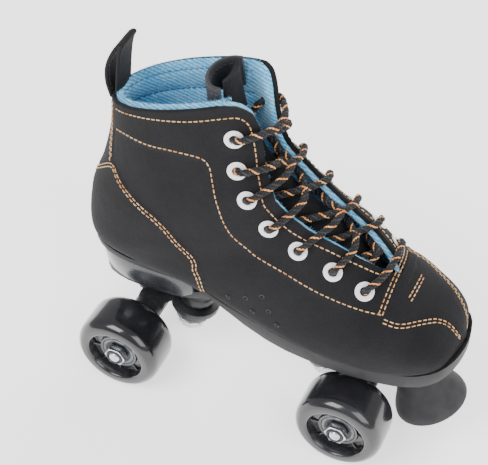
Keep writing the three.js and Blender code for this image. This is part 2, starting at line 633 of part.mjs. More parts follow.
function hanger() {
  const across = (geometry) => geometry.rotateX(Math.PI / 2).translate(0, 0, axleHeight);
  const arm = across(turned([[0, -armEnd], [6.5, -armEnd], [8, -armEnd + 4], [10, -12], [10, 12],
    [8, armEnd - 4], [6.5, armEnd], [0, armEnd]]));
  const z = ringHeight;
  const yoke = sideways([[-19, z + 4.5], [-14, z + 4.2], [-6, axleHeight + 11.5], [6, axleHeight + 11.5],
    [9, axleHeight + 2], [0, axleHeight - 6], [-9, axleHeight - 2], [-13, z - 4.5], [-18.4, z + 0.8]], 17);
  const pin = onPivot(turned([[0, -19], [5.5, -19], [5.5, -8], [pivotRadius, -2], [pivotRadius, 0],
    [pivotRadius * 0.85, 2.1], [pivotRadius * 0.5, 3.5], [0, 4]], 12));
  const eye = onKingpin(ring(0, ringRadius, -ringThickness / 2, ringThickness / 2, 20));
  const eyeHole = onKingpin(ring(0, kingpinDiameter / 2 + 1.6, -12, 12, 12));
  const axleHole = across(ring(0, axleDiameter / 2 + gap, -track, track, 12));
  return cut(join(arm, yoke, pin, eye), eyeHole, axleHole);
}

function wheel() {
  const [half, radius] = [wheelWidth / 2, wheelDiameter / 2];
  const seat = bearingOuter / 2 + gap;
  const land = bearingIn - bearingWidth - gap;
  const side = [[hubRecessRadius, bearingIn], [hubRecessRadius + 2, half], [radius - 5, half],
    [radius - 1.2, half - 2.8], [radius, half - 7]];
  const profile = [
    [7.5, -land], [seat, -land], [seat, -bearingIn], ...side.map(([r, y]) => [r, -y]),
    ...side.reverse(), [seat, bearingIn], [seat, land], [7.5, land], [7.5, -land],
  ];
  const segments = 20;
  const flat = 1 / Math.cos(Math.PI / segments); // so that the flats of the tread touch the ground
  return turned(profile.map(([r, y]) => [r * flat, y]), segments);
}

function truck(group, end) {
  const name = end > 0 ? "front" : "rear";
  const add = (label, geometry, material) => piece(group, label, atEnd(geometry, end), material);
  add(`hanger_${name}`, geometryOf(hanger()), castAluminium);

  const pin = kingpinDiameter / 2;
  const nutTop = -ringThickness / 2 - gap - cushionHeight - gap;
  const cushion = (bottom) => onKingpin(turned([[pin + gap, bottom], [cushionRadius - 1.5, bottom],
    [cushionRadius, bottom + cushionHeight / 2], [cushionRadius - 1.5, bottom + cushionHeight],
    [pin + gap, bottom + cushionHeight], [pin + gap, bottom]]));
  add(`cushion_upper_${name}`, cushion(ringThickness / 2 + gap), cushionUrethane);
  add(`cushion_lower_${name}`, cushion(nutTop + gap), cushionUrethane);
  add(`kingpin_${name}`, onKingpin(ring(0, pin, nutTop - 9.5, kingpinToPlate + 1.6, 12)), zincSteel);
  const nut = turned([[pin + gap, nutTop - 8], [9.4, nutTop - 8], [9.4, nutTop - 1.5], [11.5, nutTop - 1.5],
    [11.5, nutTop], [pin + gap, nutTop], [pin + gap, nutTop - 8]], 12);
  add(`kingpin_nut_${name}`, onKingpin(nut), zincSteel);
  const cup = turned([[0, 7], [pivotCupRadius, 7], [pivotCupRadius, -3.5], [pivotRadius + 1.9, -3.5],
    [pivotRadius + 0.5, 0], [pivotRadius, 2.6], [pivotRadius * 0.6, 4.1], [0, 4.6]], 12);
  add(`pivot_cup_${name}`, onPivot(cup), cupUrethane);

  const nutFace = track / 2 + bearingIn + gap;
  const rod = axleDiameter / 2;
  const axle = ring(0, rod, -nutFace - axleNutHeight - 1, nutFace + axleNutHeight + 1, 12);
  add(`axle_${name}`, axle.rotateX(Math.PI / 2).translate(0, 0, axleHeight), zincSteel);
  for (const side of [1, -1]) {
    const corner = `${name}_${side > 0 ? "outer" : "inner"}`;
    // Drawn about Z with the far end up, then laid along Y to its own side.
    const aside = (geometry) => geometry.rotateX((-side * Math.PI) / 2).translate(0, 0, axleHeight);
    const put = (label, geometry, material) => {
      const made = aside(geometry).translate((end * wheelbase) / 2, 0, 0);
      piece(group, label, made, material);
    };
    put(`wheel_${corner}`, wheel().translate(0, 0, track / 2), urethane);
    const race = (bottom) => ring(rod + gap, bearingOuter / 2, bottom, bottom + bearingWidth, 16);
    put(`bearing_outboard_${corner}`, race(track / 2 + bearingIn - bearingWidth), bearingSteel);
    put(`bearing_inboard_${corner}`, race(track / 2 - bearingIn), bearingSteel);
    const nut = hexNut(axleDiameter + 2 * gap, axleNutAcrossCorners, nutFace, nutFace + axleNutHeight);
    put(`axle_nut_${corner}`, geometryOf(nut), zincSteel);
  }
}

// ---------- toe stop ----------
function toeStop(group) {
  const stem = stemDiameter / 2;
  const socket = 10;
  const profile = [[0, 0], [stopRadius - 1.5, 0], [stopRadius, 1.6], [stopRadius - 0.8, 6],
    [stopRadius - 6, 17], [stopRadius - 9, stopHeight], [stem + gap, stopHeight], [stem + gap, socket],
    [0, socket]];
  piece(group, "toe_stop_pad", onStop(turned(profile, 20)), stopRubber);
  const stemTop = (plateTop - stopZ) / Math.cos(stopTilt) - stem * Math.tan(stopTilt) - 2;
  piece(group, "toe_stop_stem", onStop(ring(0, stem, socket + gap, stemTop, 16)), zincSteel);
  const nutTop = stopBoss - gap;
  const nut = hexNut(stemDiameter + 2 * gap, jamNutAcrossCorners, nutTop - jamNutHeight, nutTop);
  piece(group, "toe_stop_jam_nut", onStop(geometryOf(nut)), zincSteel);
}

// ---------- the skate ----------
const skate = new THREE.Group();
piece(skate, "boot_upper", upperShell(), nubuck);
piece(skate, "boot_lining", liningShell(), terry);
insole(skate);
tongue(skate);
heelPullLoop(skate);
sole(skate);
eyelets(skate);
lace(skate);
plate(skate);
mountBolts(skate);
truck(skate, 1);
truck(skate, -1);
toeStop(skate);
skate.updateMatrixWorld(true);
const footprint = new THREE.Box3().setFromObject(skate);
skate.position.x = -(footprint.min.x + footprint.max.x) / 2;

export default skate;
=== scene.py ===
"""The looks of a quad roller skate: a nubuck boot with a terry lining and a speckled round lace, on a
moulded plate with sprung trucks, cast urethane wheels and a rubber toe stop.

Metres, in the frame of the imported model. The boot is drawn on a last, a table of slanting sections in
millimetres about the middle of the wheelbase, so that leather, lining, seams and lace share one shape.
"""
import math
import random

import bmesh
import bpy
import numpy as np
from mathutils import Matrix, Vector


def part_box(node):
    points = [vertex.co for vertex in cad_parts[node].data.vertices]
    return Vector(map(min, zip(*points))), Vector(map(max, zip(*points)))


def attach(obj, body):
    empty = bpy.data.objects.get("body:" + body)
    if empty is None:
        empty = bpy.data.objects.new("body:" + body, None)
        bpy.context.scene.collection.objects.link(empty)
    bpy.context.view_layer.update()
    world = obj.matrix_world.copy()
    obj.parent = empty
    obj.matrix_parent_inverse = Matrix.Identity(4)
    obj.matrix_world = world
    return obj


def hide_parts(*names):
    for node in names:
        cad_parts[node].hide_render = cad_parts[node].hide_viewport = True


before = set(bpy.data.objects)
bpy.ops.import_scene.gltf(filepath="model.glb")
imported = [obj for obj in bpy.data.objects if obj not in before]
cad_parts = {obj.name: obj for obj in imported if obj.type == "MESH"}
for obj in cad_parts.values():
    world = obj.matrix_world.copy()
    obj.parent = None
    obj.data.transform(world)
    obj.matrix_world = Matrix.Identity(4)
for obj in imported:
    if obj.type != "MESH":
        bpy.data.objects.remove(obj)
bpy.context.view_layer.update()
MM = 0.001


def middle_of(node):
    low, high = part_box(node)
    return (low + high) / 2


# ---------- what the frame gives ----------
mid_wheelbase = (middle_of("axle_front").x + middle_of("axle_rear").x) / 2
plate_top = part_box("plate")[1].z
axle_height = middle_of("axle_front").z
wheel_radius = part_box("wheel_front_inner")[1].z / 2
wheel_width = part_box("wheel_front_inner")[1].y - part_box("wheel_front_inner")[0].y

# ---------- camera, floor and light ----------
look_at = Vector((mid_wheelbase, 0, 0.1))
azimuth, elevation, distance = math.radians(24), math.radians(46.4), 0.85
back = Vector((math.sin(azimuth) * math.cos(elevation), -math.cos(azimuth) * math.cos(elevation),
               math.sin(elevation)))
camera = bpy.data.objects.new("camera", bpy.data.cameras.new("camera"))
bpy.context.scene.collection.objects.link(camera)
camera.location = look_at + back * distance
camera.rotation_euler = back.to_track_quat("Z", "Y").to_euler()
camera.data.sensor_width = 36
camera.data.lens = 100
camera.data.shift_x = -0.0297
camera.data.shift_y = 0.0543
bpy.context.scene.camera = camera


def softbox(name, place, size, watts):
    """A square area light that faces the boot."""
    data = bpy.data.lights.new(name, "AREA")
    data.size = size
    data.energy = watts
    lamp = bpy.data.objects.new(name, data)
    lamp.location = place
    lamp.rotation_euler = (Vector(place) - look_at).to_track_quat("Z", "Y").to_euler()
    bpy.context.scene.collection.objects.link(lamp)


softbox("key_light", (-0.5, -0.9, 1.3), 0.9, 22)
softbox("fill_light", (1.1, -0.6, 0.9), 1.0, 12)
softbox("back_light", (0.2, 1.1, 1.1), 0.9, 16)
sky = bpy.data.worlds.new("studio")
sky.use_nodes = True
sky.node_tree.nodes["Background"].inputs["Color"].default_value = (1, 1, 1, 1)
sky.node_tree.nodes["Background"].inputs["Strength"].default_value = 0.55
bpy.context.scene.world = sky


# ---------- materials ----------
def paint(code):
    """An sRGB hex colour as linear RGBA."""
    channels = [int(code[i:i + 2], 16) / 255 for i in (1, 3, 5)]
    return (*[c / 12.92 if c <= 0.04045 else ((c + 0.055) / 1.055) ** 2.4 for c in channels], 1)


def add(tree, kind, inputs=(), **settings):
    """Adds a shader node, sets its properties, and fills its inputs with values or with other outputs."""
    node = tree.nodes.new("ShaderNode" + kind)
    for name, value in settings.items():
        setattr(node, name, value)
    for key, value in dict(inputs).items():
        if isinstance(value, bpy.types.NodeSocket):
            tree.links.new(value, node.inputs[key])
        else:
            node.inputs[key].default_value = value
    return node


def material(name, **sockets):
    """A material, its tree, its shader and the place on the surface in metres."""
    made = bpy.data.materials.new(name)
    made.use_nodes = True
    tree = made.node_tree
    shader = tree.nodes["Principled BSDF"]
    for key, value in sockets.items():
        shader.inputs[key.replace("_", " ")].default_value = value
    place = add(tree, "TexCoord").outputs["Object"]
    return made, tree, shader, place


def mottle(tree, place, size_mm, detail=3, stretch=(1, 1, 1)):
    """Noise whose patches are about size_mm across, as a height from 0 to 1."""
    mapped = add(tree, "Mapping", {"Vector": place, "Scale": stretch}).outputs["Vector"]
    noise = add(tree, "TexNoise", {"Vector": mapped, "Scale": 1000 / size_mm, "Detail": detail})
    return noise.outputs["Fac"]


def shades(tree, height, *stops):
    """Colours along a height, as (place, hex) stops."""
    ramp = add(tree, "ValToRGB", {"Fac": height})
    while len(ramp.color_ramp.elements) < len(stops):
        ramp.color_ramp.elements.new(0.5)
    for element, (at, code) in zip(ramp.color_ramp.elements, stops):
        element.position = at
        element.color = paint(code)
    return ramp.outputs["Color"]


def relief(tree, shader, *layers):
    """Bump from (height, depth in mm) layers, one over another."""
    normal = None
    for height, depth in layers:
        inputs = {"Height": height, "Distance": depth * MM, "Strength": 1.0}
        if normal:
            inputs["Normal"] = normal
        normal = add(tree, "Bump", inputs).outputs["Normal"]
    tree.links.new(normal, shader.inputs["Normal"])


def roughness(tree, shader, height, low, high):
    spread = add(tree, "MapRange", {"Value": height, "To Min": low, "To Max": high})
    tree.links.new(spread.outputs["Result"], shader.inputs["Roughness"])


def nubuck(name, dark, light):
    """Buffed leather: matte, with a short nap that catches the light in patches, and a fine grain."""
    made, tree, shader, place = material(name, Sheen_Weight=0.05, Sheen_Roughness=0.45,
                                         Specular_IOR_Level=0.25)
    patches = mottle(tree, place, 26, 5)
    nap = mottle(tree, place, 0.9, 4)
    both = add(tree, "Mix", {"Factor": 0.42, "A": patches, "B": nap}).outputs["Result"]
    colour = shades(tree, both, (0.36, dark), (0.64, light))
    tree.links.new(colour, shader.inputs["Base Color"])
    roughness(tree, shader, patches, 0.78, 0.98)
    relief(tree, shader, (mottle(tree, place, 7, 3), 0.35), (nap, 0.22))
    return made


def terry():
    """Looped cotton knit: loops in slanting ribs, deep blue between them as painted shade and pale where they
    crest as painted highlight.
    """
    made, tree, shader, place = material("terry_knit", Sheen_Weight=0.35, Sheen_Roughness=0.4, Roughness=0.95,
                                         Specular_IOR_Level=0.15)
    turned = add(tree, "Mapping", {"Vector": place, "Rotation": (0.5, 0.75, 0.6)}).outputs["Vector"]
    ribs = add(tree, "TexWave", {"Vector": turned, "Scale": 1000 / 1.8 / 6.283 * 2, "Distortion": 1.8,
                                 "Detail": 2.0, "Detail Scale": 3.0},
               bands_direction="DIAGONAL").outputs["Fac"]
    loops = add(tree, "TexVoronoi", {"Vector": place, "Scale": 1000 / 1.3}).outputs["Distance"]
    height = add(tree, "Mix", {"Factor": 0.5, "A": ribs, "B": loops}).outputs["Result"]
    patches = mottle(tree, place, 12, 3)
    loop_shade_and_tone = add(tree, "Mix", {"Factor": 0.35, "A": height, "B": patches}).outputs["Result"]
    # Colour follows the loops' height: the deep blue is painted shade in the hollows and the pale is a painted
    # highlight on the crests, over random tone patches.
    colour = shades(tree, loop_shade_and_tone, (0.2, "#3d93c8"), (0.45, "#66b6e2"), (0.75, "#a9dcf4"))
    tree.links.new(colour, shader.inputs["Base Color"])
    relief(tree, shader, (height, 0.5), (mottle(tree, place, 0.8, 2), 0.3))
    return made


def thread(name, *stops, twist_mm=1.1, sheen=0.3):
    """Twisted polyester thread: its plies show as fine slanting ridges."""
    made, tree, shader, place = material(name, Sheen_Weight=sheen, Roughness=0.62, Specular_IOR_Level=0.35)
    colour = shades(tree, mottle(tree, place, 5, 2), *stops)
    tree.links.new(colour, shader.inputs["Base Color"])
    turned = add(tree, "Mapping", {"Vector": place, "Rotation": (0.6, 0.4, 0.8)}).outputs["Vector"]
    plies = add(tree, "TexWave", {"Vector": turned, "Scale": 1000 / twist_mm / 6.283 * 2, "Distortion": 1.0})
    relief(tree, shader, (plies.outputs["Fac"], 0.12), (mottle(tree, place, 0.5, 2), 0.08))
    return made


def moulded(name, dark, light, low, high, grain_mm=0.8, grain_depth=0.03, scuff_mm=14, **sockets):
    """Moulded or cast plastic and rubber: even colour, faint flow marks, and handling scuffs in its gloss."""
    made, tree, shader, place = material(name, **sockets)
    scuffs = mottle(tree, place, scuff_mm, 6)
    colour = shades(tree, scuffs, (0.35, dark), (0.7, light))
    tree.links.new(colour, shader.inputs["Base Color"])
    roughness(tree, shader, scuffs, low, high)
    relief(tree, shader, (mottle(tree, place, grain_mm, 2), grain_depth))
    return made


def bare_metal(name, dark, light, low, high, stretch=(1, 1, 1)):
    """Plated or ground steel: full metal, with faint working marks drawn out along one way."""
    made, tree, shader, place = material(name, Metallic=1.0)
    marks = mottle(tree, place, 1.6, 4, stretch)
    colour = shades(tree, marks, (0.3, dark), (0.7, light))
    tree.links.new(colour, shader.inputs["Base Color"])
    roughness(tree, shader, marks, low, high)
    relief(tree, shader, (marks, 0.02))
    return made


black_nubuck = nubuck("nubuck_buffed_black", "#101012", "#1e1e21")
black_panel = nubuck("nubuck_panels_black", "#121214", "#202023")
tongue_nubuck = nubuck("nubuck_tongue_black", "#0e0e10", "#1a1a1d")
terry_blue = terry()
seam_thread = thread("stitching_thread_tan", (0.35, "#b9793c"), (0.52, "#d9b68a"), (0.7, "#c98a48"))
blue_thread = thread("lining_thread_blue", (0.3, "#1d4f83"), (0.7, "#2c6ba3"))
lace_black = thread("lace_yarn_black", (0.3, "#0d0d0f"), (0.7, "#1d1d20"), sheen=0.1)
lace_fleck = thread("lace_yarn_orange", (0.38, "#d9772b"), (0.5, "#f0b06a"), (0.62, "#e08a3a"))
lace_grey = thread("lace_yarn_grey", (0.3, "#242428"), (0.7, "#3c3c41"), sheen=0.1)
webbing = moulded("coated_strap_black", "#18181b", "#2c2c30", 0.42, 0.7, 0.7, 0.12, Sheen_Weight=0.1)
insole_knit = moulded("insole_knit_blue", "#2f6fa6", "#5a9fd0", 0.9, 1.0, 1.1, 0.25, Sheen_Weight=0.3)
sole_rubber = moulded("sole_rubber_black", "#121214", "#232326", 0.45, 0.7, 0.6, 0.05)
heel_gloss = moulded("heel_polystyrene_black", "#1d1e22", "#2f3136", 0.18, 0.34, 9, 0.05, Coat_Weight=0.5,
                     Coat_Roughness=0.12)
nylon = moulded("glass_filled_nylon_black", "#131416", "#222326", 0.36, 0.58, 0.5, 0.05)
powder_coat = moulded("powder_coat_black", "#17181a", "#292b2e", 0.34, 0.52, 0.9, 0.06)
urethane = moulded("cast_urethane_black", "#141417", "#26262a", 0.12, 0.28, 6, 0.02, 20, Coat_Weight=0.6,
                   Coat_Roughness=0.08)
cushion_urethane = moulded("cushion_urethane_black", "#141416", "#242427", 0.3, 0.45)
stop_rubber = moulded("toe_stop_rubber_black", "#222224", "#3a3a3d", 0.6, 0.88, 0.7, 0.1)
enamel = moulded("eyelet_enamel_white", "#ececec", "#ffffff", 0.2, 0.36, 2.5, 0.03, 3, Coat_Weight=0.4)
zinc = bare_metal("zinc_plated_steel", "#a9adb2", "#e2e4e8", 0.16, 0.34)
steel = bare_metal("ground_bearing_steel", "#55585d", "#7c8086", 0.25, 0.4, (1, 0.2, 1))
# Black for the bearing shields and locknut inserts, and painted shade in the vent holes.
black_parts_and_hole_shade = moulded("bearing_shield_black", "#0e0e10", "#1c1c1f", 0.3, 0.5, 0.6, 0.03)
floor_paint = moulded("floor_matt_white", "#f4f4f3", "#fafaf9", 0.8, 0.95, 3, 0.01, 400,
                      Emission_Color=(1, 1, 1, 1), Emission_Strength=1.3)


# ---------- meshes ----------
def piece(name, points, faces, finish, slot, body="root", turn=35, replaces=()):
    """A mesh object in the row frame that rides on a body and stands for CAD nodes."""
    mesh = bpy.data.meshes.new(name)
    mesh.from_pydata([tuple(p) for p in points], [], faces)
    work = bmesh.new()
    work.from_mesh(mesh)
    bmesh.ops.remove_doubles(work, verts=work.verts, dist=2e-6)
    bmesh.ops.dissolve_degenerate(work, dist=1e-7, edges=work.edges)
    bmesh.ops.recalc_face_normals(work, faces=work.faces)
    work.to_mesh(mesh)
    work.free()
    return finished(bpy.data.objects.new(name, mesh), finish, body, turn, replaces)


def finished(made, finish, body, turn, replaces):
    """Links, shades and paints an object, and ties it to its body."""
    bpy.context.scene.collection.objects.link(made)
    made.data.shade_smooth()
    made.data.set_sharp_from_angle(angle=math.radians(turn))
    made.data.materials.clear()
    made.data.materials.append(finish)
    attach(made, body)
    if replaces:
        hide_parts(*replaces)
    return made


def loft(rings, closed=True):
    """Points and faces of a skin over rings of points. closed joins the last ring to the first."""
    rings = np.asarray(rings, float)
    count, size = rings.shape[:2]
    rows = count if closed else count - 1
    faces = []
    for i in range(rows):
        here, there = i * size, (i + 1) % count * size
        for j in range(size):
            k = (j + 1) % size
            faces.append((here + j, here + k, there + k, there + j))
    return rings.reshape(-1, 3), faces


def merged(parts):
    """Several (points, faces) skins as one."""
    points, faces, start = [], [], 0
    for some, skin_faces in parts:
        points.append(np.asarray(some))
        faces.extend([tuple(start + k for k in face) for face in skin_faces])
        start += len(some)
    return np.concatenate(points), faces


def capped(rings):
    """Rings with each end drawn together to its middle."""
    rings = np.asarray(rings, float)
    ends = [np.repeat(rings[k].mean(0)[None], rings.shape[1], 0) for k in (0, -1)]
    return np.concatenate([ends[0][None], rings, ends[1][None]])


def unit(v):
    """Vectors brought to a length of one."""
    return v / (np.linalg.norm(v, axis=-1, keepdims=True) + 1e-12)


def run_along(points):
    """How far along a path each of its points lies."""
    return np.concatenate([[0], np.cumsum(np.linalg.norm(np.diff(points, axis=0), axis=1))])


def standing(place, out):
    """A matrix that stands a shape on a place, its Z along out."""
    return Matrix.Translation(place) @ Vector(out).to_track_quat("Z", "Y").to_matrix().to_4x4()


def frames_along(path):
    """Unit tangents, and normals that turn as little as they can, along a path of points."""
    tangents = unit(np.gradient(path, axis=0))
    start = np.array([0, 0, 1.0]) if abs(tangents[0][2]) < 0.9 else np.array([1.0, 0, 0])
    normals = np.empty_like(tangents)
    last = start
    for i, tangent in enumerate(tangents):
        last = unit(last - tangent * (last @ tangent))
        normals[i] = last
    return tangents, normals


def tube(path, radius, sides=8):
    """Rings round a path. radius may change along it."""
    path = np.asarray(path, float)
    tangents, normals = frames_along(path)
    sideways = np.cross(tangents, normals)
    radius = np.broadcast_to(radius, len(path))[:, None, None]
    angles = np.arange(sides) / sides * 2 * math.pi
    round_ring = (np.cos(angles)[None, :, None] * normals[:, None]
                  + np.sin(angles)[None, :, None] * sideways[:, None])
    return loft(capped(path[:, None] + radius * round_ring), closed=False)


def smooth_path(points, step):
    """A centripetal Catmull-Rom curve through points, cut into even steps."""
    p = np.asarray(points, float)
    p = np.concatenate([2 * p[:1] - p[1:2], p, 2 * p[-1:] - p[-2:-1]])
    fine = []
    for a, b, c, d in zip(p, p[1:], p[2:], p[3:]):
        k1, k2, k3 = [max(np.linalg.norm(v - u), 1e-9) ** 0.5 for u, v in ((a, b), (b, c), (c, d))]
        m1 = (b - a) / k1 - (c - a) / (k1 + k2) + (c - b) / k2
        m2 = (c - b) / k2 - (d - b) / (k2 + k3) + (d - c) / k3
        m1, m2 = m1 * k2, m2 * k2
        t = np.linspace(0, 1, 12, endpoint=False)[:, None]
        fine.append((2 * t**3 - 3 * t**2 + 1) * b + (t**3 - 2 * t**2 + t) * m1
                    + (-2 * t**3 + 3 * t**2) * c + (t**3 - t**2) * m2)
    fine = np.concatenate([*fine, p[-2:-1]])
    run = run_along(fine)
    marks = np.linspace(0, run[-1], max(3, round(run[-1] / step) + 1))
    return np.stack([np.interp(marks, run, fine[:, k]) for k in range(fine.shape[1])], 1)


def turned(profile, matrix=Matrix.Identity(4), segments=64):
    """A solid of revolution about Z from [radius, height] points in mm, placed by a matrix in metres.
    A profile that doesn't close on itself starts and ends on the axis."""
    closed = profile[0] == profile[-1]
    angles = np.arange(segments) / segments * 2 * math.pi
    circle = np.stack([np.cos(angles), np.sin(angles)], 1)
    rings = [np.column_stack([circle * r, np.full(segments, h)]) * MM
             for r, h in profile[:-1 if closed else None]]
    points, faces = loft(rings, closed=closed)
    return [matrix @ Vector(p) for p in points], faces


def rounded(points, radius, steps=4):
    """A profile of [radius, height] points with its inner corners rounded."""
    made = [points[0]]
    for a, b, c in zip(points, points[1:], points[2:]):
        a, b, c = (np.array(v, float) for v in (a, b, c))
        first, second = a - b, c - b
        reach = min(radius, np.linalg.norm(first) / 2.05, np.linalg.norm(second) / 2.05)
        start, end = b + unit(first) * reach, b + unit(second) * reach
        for t in np.linspace(0, 1, steps):
            made.append(list((1 - t) ** 2 * start + 2 * t * (1 - t) * b + t * t * end))
    return [*made, points[-1]]


# ---------- the last ----------
# Each station is a slanting section from the back or bottom of the boot (x, z over the plate) to its front
# or top, its half widths on the inner and outer side, the share of its height where it is widest, the
# squareness of its lower half and of its upper half on each side, and where its bottom and top lie in Y.
stations = np.array([
    [-93, 135, 10, 173, 26, 28, 0.48, 2.2, 2.2, 2.2, 3, 2],
    [-95, 114, 12, 149, 28, 29, 0.48, 2.2, 2.1, 2.1, 2.5, 0],
    [-102, 88, 18, 128, 31, 32, 0.48, 2.1, 2.0, 2.2, 2, -2],
    [-112, 60, 30, 115, 33, 34, 0.46, 2.1, 2.0, 2.5, 1, -4],
    [-111, 28, 44, 105, 34, 35, 0.4, 2.5, 1.9, 2.6, 0, -5],
    [-82, 22, 57, 96, 34, 36, 0.34, 3.4, 1.8, 2.6, 0, -5],
    [-34, 20, 70, 87, 36, 38, 0.3, 4.2, 1.8, 2.5, 0, -5],
    [8, 10, 82, 77, 39, 42, 0.28, 4.2, 1.9, 2.2, 0, -5],
    [44, 6, 93, 66, 43, 44, 0.28, 4.2, 2.0, 2.0, 0, -5],
    [74, 6, 104, 58, 44, 43, 0.3, 4.0, 2.2, 2.2, -1, -5],
    [98, 8, 114, 50, 41, 39, 0.32, 3.6, 2.3, 2.3, -2.5, -5],
    [118, 11, 126, 42, 34, 32, 0.35, 3.0, 2.4, 2.4, -4, -5],
    [131, 15, 134, 34, 24, 22, 0.4, 2.5, 2.3, 2.3, -5, -5],
    [138, 22, 138, 26, 3, 3, 0.5, 2.0, 2.0, 2.0, -6, -6],
])
toe = len(stations) - 1
throat_end = 8.1
inner_flap_edge = [[0, 23], [0.2, 19], [0.5, 15], [0.9, 12.6], [1.5, 12.6], [2.2, 14.5], [3.2, 18], [5, 15.5],
                   [6.5, 13], [7.6, 9], [throat_end, 2]]
outer_flap_edge = [[0, 21], [0.2, 17.5], [0.5, 14.5], [0.9, 12.4], [2, 13], [3.2, 15], [4.2, 13], [5.2, 10],
                   [6.4, 9], [7.6, 6], [throat_end, 2]]
# Depths in mm under the leather's outer face, down through the layers.
lining_inside = 5.95
lace_depth = 8.9
lace_radius = 2.0
tongue_slack = 2.9
tongue_thickness = 3.2
tongue_lean = 12  # mm that the tongue's top leans back into the boot
tongue_top = lace_depth + lace_radius + tongue_slack


def section(s):
    """The last's section at each s, smoothly between its stations."""
    s = np.clip(np.asarray(s, float), 0, toe)
    i = np.minimum(s.astype(int), toe - 1)
    f = (s - i)[..., None]
    p0, p1, p2, p3 = (stations[np.clip(i + k, 0, toe)] for k in (-1, 0, 1, 2))
    bend = (2 * p0 - 5 * p1 + 4 * p2 - p3) * f * f + (-p0 + 3 * p1 - 3 * p2 + p3) * f**3
    return (2 * p1 + (p2 - p0) * f + bend) / 2


def power(value, exponent):
    return np.sign(value) * np.abs(value) ** exponent


def skin(s, angle, depth=0.0):
    """Points of the boot at stations s, at angles from the top line (positive on the inner side of the
    foot) and at depths in mm under its outer face."""
    s, angle, depth = np.broadcast_arrays(*[np.asarray(v, float) for v in (s, angle, depth)])
    t = section(s)
    behind, front = t[..., 0:2], t[..., 2:4]
    inner, upper = np.sin(angle) >= 0, np.cos(angle) >= 0
    square = np.where(upper, np.where(inner, t[..., 8], t[..., 9]), t[..., 7])
    c, w = power(np.cos(angle), 2 / square), power(np.sin(angle), 2 / square)
    tall = np.linalg.norm(front - behind, axis=-1)
    reach = np.where(upper, 1 - t[..., 6], t[..., 6]) * tall - depth
    up = t[..., 6] * tall + np.maximum(reach, 0.5) * c
    half = np.maximum(np.where(inner, t[..., 4], t[..., 5]) - depth, 0.5)
    along = behind + (front - behind) * (up / tall)[..., None]
    y = t[..., 10] + (t[..., 11] - t[..., 10]) * up / tall - half * w
    return np.stack([mid_wheelbase + along[..., 0] * MM, y * MM, plate_top + along[..., 1] * MM], -1)


def flap_angle(s, across):
    """The angle of a place across mm from the top line, negative on the inner side of the foot."""
    t = section(s)
    inner = np.asarray(across) < 0
    half, square = np.where(inner, t[..., 4], t[..., 5]), np.where(inner, t[..., 8], t[..., 9])
    sine = np.minimum(np.abs(across) / half, 1) ** (square / 2)
    return np.where(inner, 1, -1) * np.arcsin(sine)


def flap(s, across, depth=0.0):
    return skin(s, flap_angle(s, across), depth)


def edge_at(table, s):
    return np.interp(s, [row[0] for row in table], [row[1] for row in table])


shaft_up = skin(0, 0) - skin(1, 0)
shaft_up[1] = 0
shaft_up = unit(shaft_up)

# ---------- seams and panels ----------
# Seam lines as (station, angle) on the inner side; the outer side mirrors them.
heel_seam = [(2.75, 3.14), (2.35, 2.85), (1.88, 2.41), (2.25, 2.15), (2.88, 1.8), (3.51, 1.52), (4.52, 1.4),
             (5.37, 1.57), (6.12, 2.0)]
facing_seam = [(0.91, 2.45), (0.92, 2.21), (1.09, 1.8), (1.21, 1.51), (1.41, 1.23), (1.6, 1.16), (2.02, 1.13),
               (2.72, 1.12), (3.27, 1.1), (3.91, 1.06), (4.61, 1.04), (5.44, 1.05), (6.41, 1.02), (7.12, 0.95),
               (7.9, 0.82), (8.55, 0.7)]
strap_seam = [(0.06, 2.62), (0.9, 2.58), (1.5, 2.5), (1.88, 2.41)]
toe_near = [(8.6, 0.68), (9.24, 0.6), (10.0, 0.36), (10.6, 0.17), (11.2, 0.11), (11.99, 0.16), (12.6, 0.3)]
toe_far = [(8.16, -0.47), (9.0, -0.55), (9.8, -0.56), (10.6, -0.5), (11.4, -0.42), (12.0, -0.4), (12.6, -0.5)]
toe_back = [(8.6, 0.68), (8.38, 0.45), (8.17, 0.16), (8.12, -0.15), (8.16, -0.47)]
PANEL_RISE = 0.75  # mm, about half a leather's thickness where one lies over another
STITCH_LIFT = 0.08  # mm, from the leather to the middle of its stitches


def evened(s, a, way):
    """An angle round the squarish section as the true bearing from its middle (way 1), or back (way -1)."""
    t = section(s)
    square = np.where(np.cos(a) >= 0, np.where(np.sin(a) >= 0, t[..., 8], t[..., 9]), t[..., 7])
    exponent = (2 / square) ** way
    return np.arctan2(power(np.sin(a), exponent), power(np.cos(a), exponent))


def smooth_places(seam, side=1):
    """Stations and angles along a smooth line through (station, angle) places."""
    s, a = np.array(seam, float).T
    bearing = evened(s, side * a, 1)
    places = smooth_path(np.stack([s, bearing], 1) * 0.03, 0.0006) / 0.03
    return places[:, 0], evened(places[:, 0], places[:, 1], -1)


def line_on_skin(seam, side=1):
    """The points of a smooth seam on the boot, half a millimetre apart."""
    s, a = smooth_places(seam, side)
    points = skin(s, a)
    run = run_along(points)
    marks = np.linspace(0, run[-1], max(3, int(run[-1] / (0.5 * MM))))
    return skin(np.interp(marks, run, s), np.interp(marks, run, a))


def within(s, a, outline):
    """Whether each (s, a) lies inside a closed outline of such pairs."""
    inside = np.zeros(s.shape, bool)
    for (s0, a0), (s1, a1) in zip(outline, [*outline[1:], outline[0]]):
        if a0 != a1:
            crosses = ((a0 > a) != (a1 > a)) & (s < (s1 - s0) * (a - a0) / (a1 - a0) + s0)
            inside ^= crosses
    return inside


def far_from(points, line):
    """Distance in mm of each point from a line of points."""
    flat = points.reshape(-1, 3)
    best = np.full(len(flat), 1e9)
    for place in line[::3]:
        best = np.minimum(best, ((flat - place) ** 2).sum(1))
    return np.sqrt(best).reshape(points.shape[:-1]) / MM


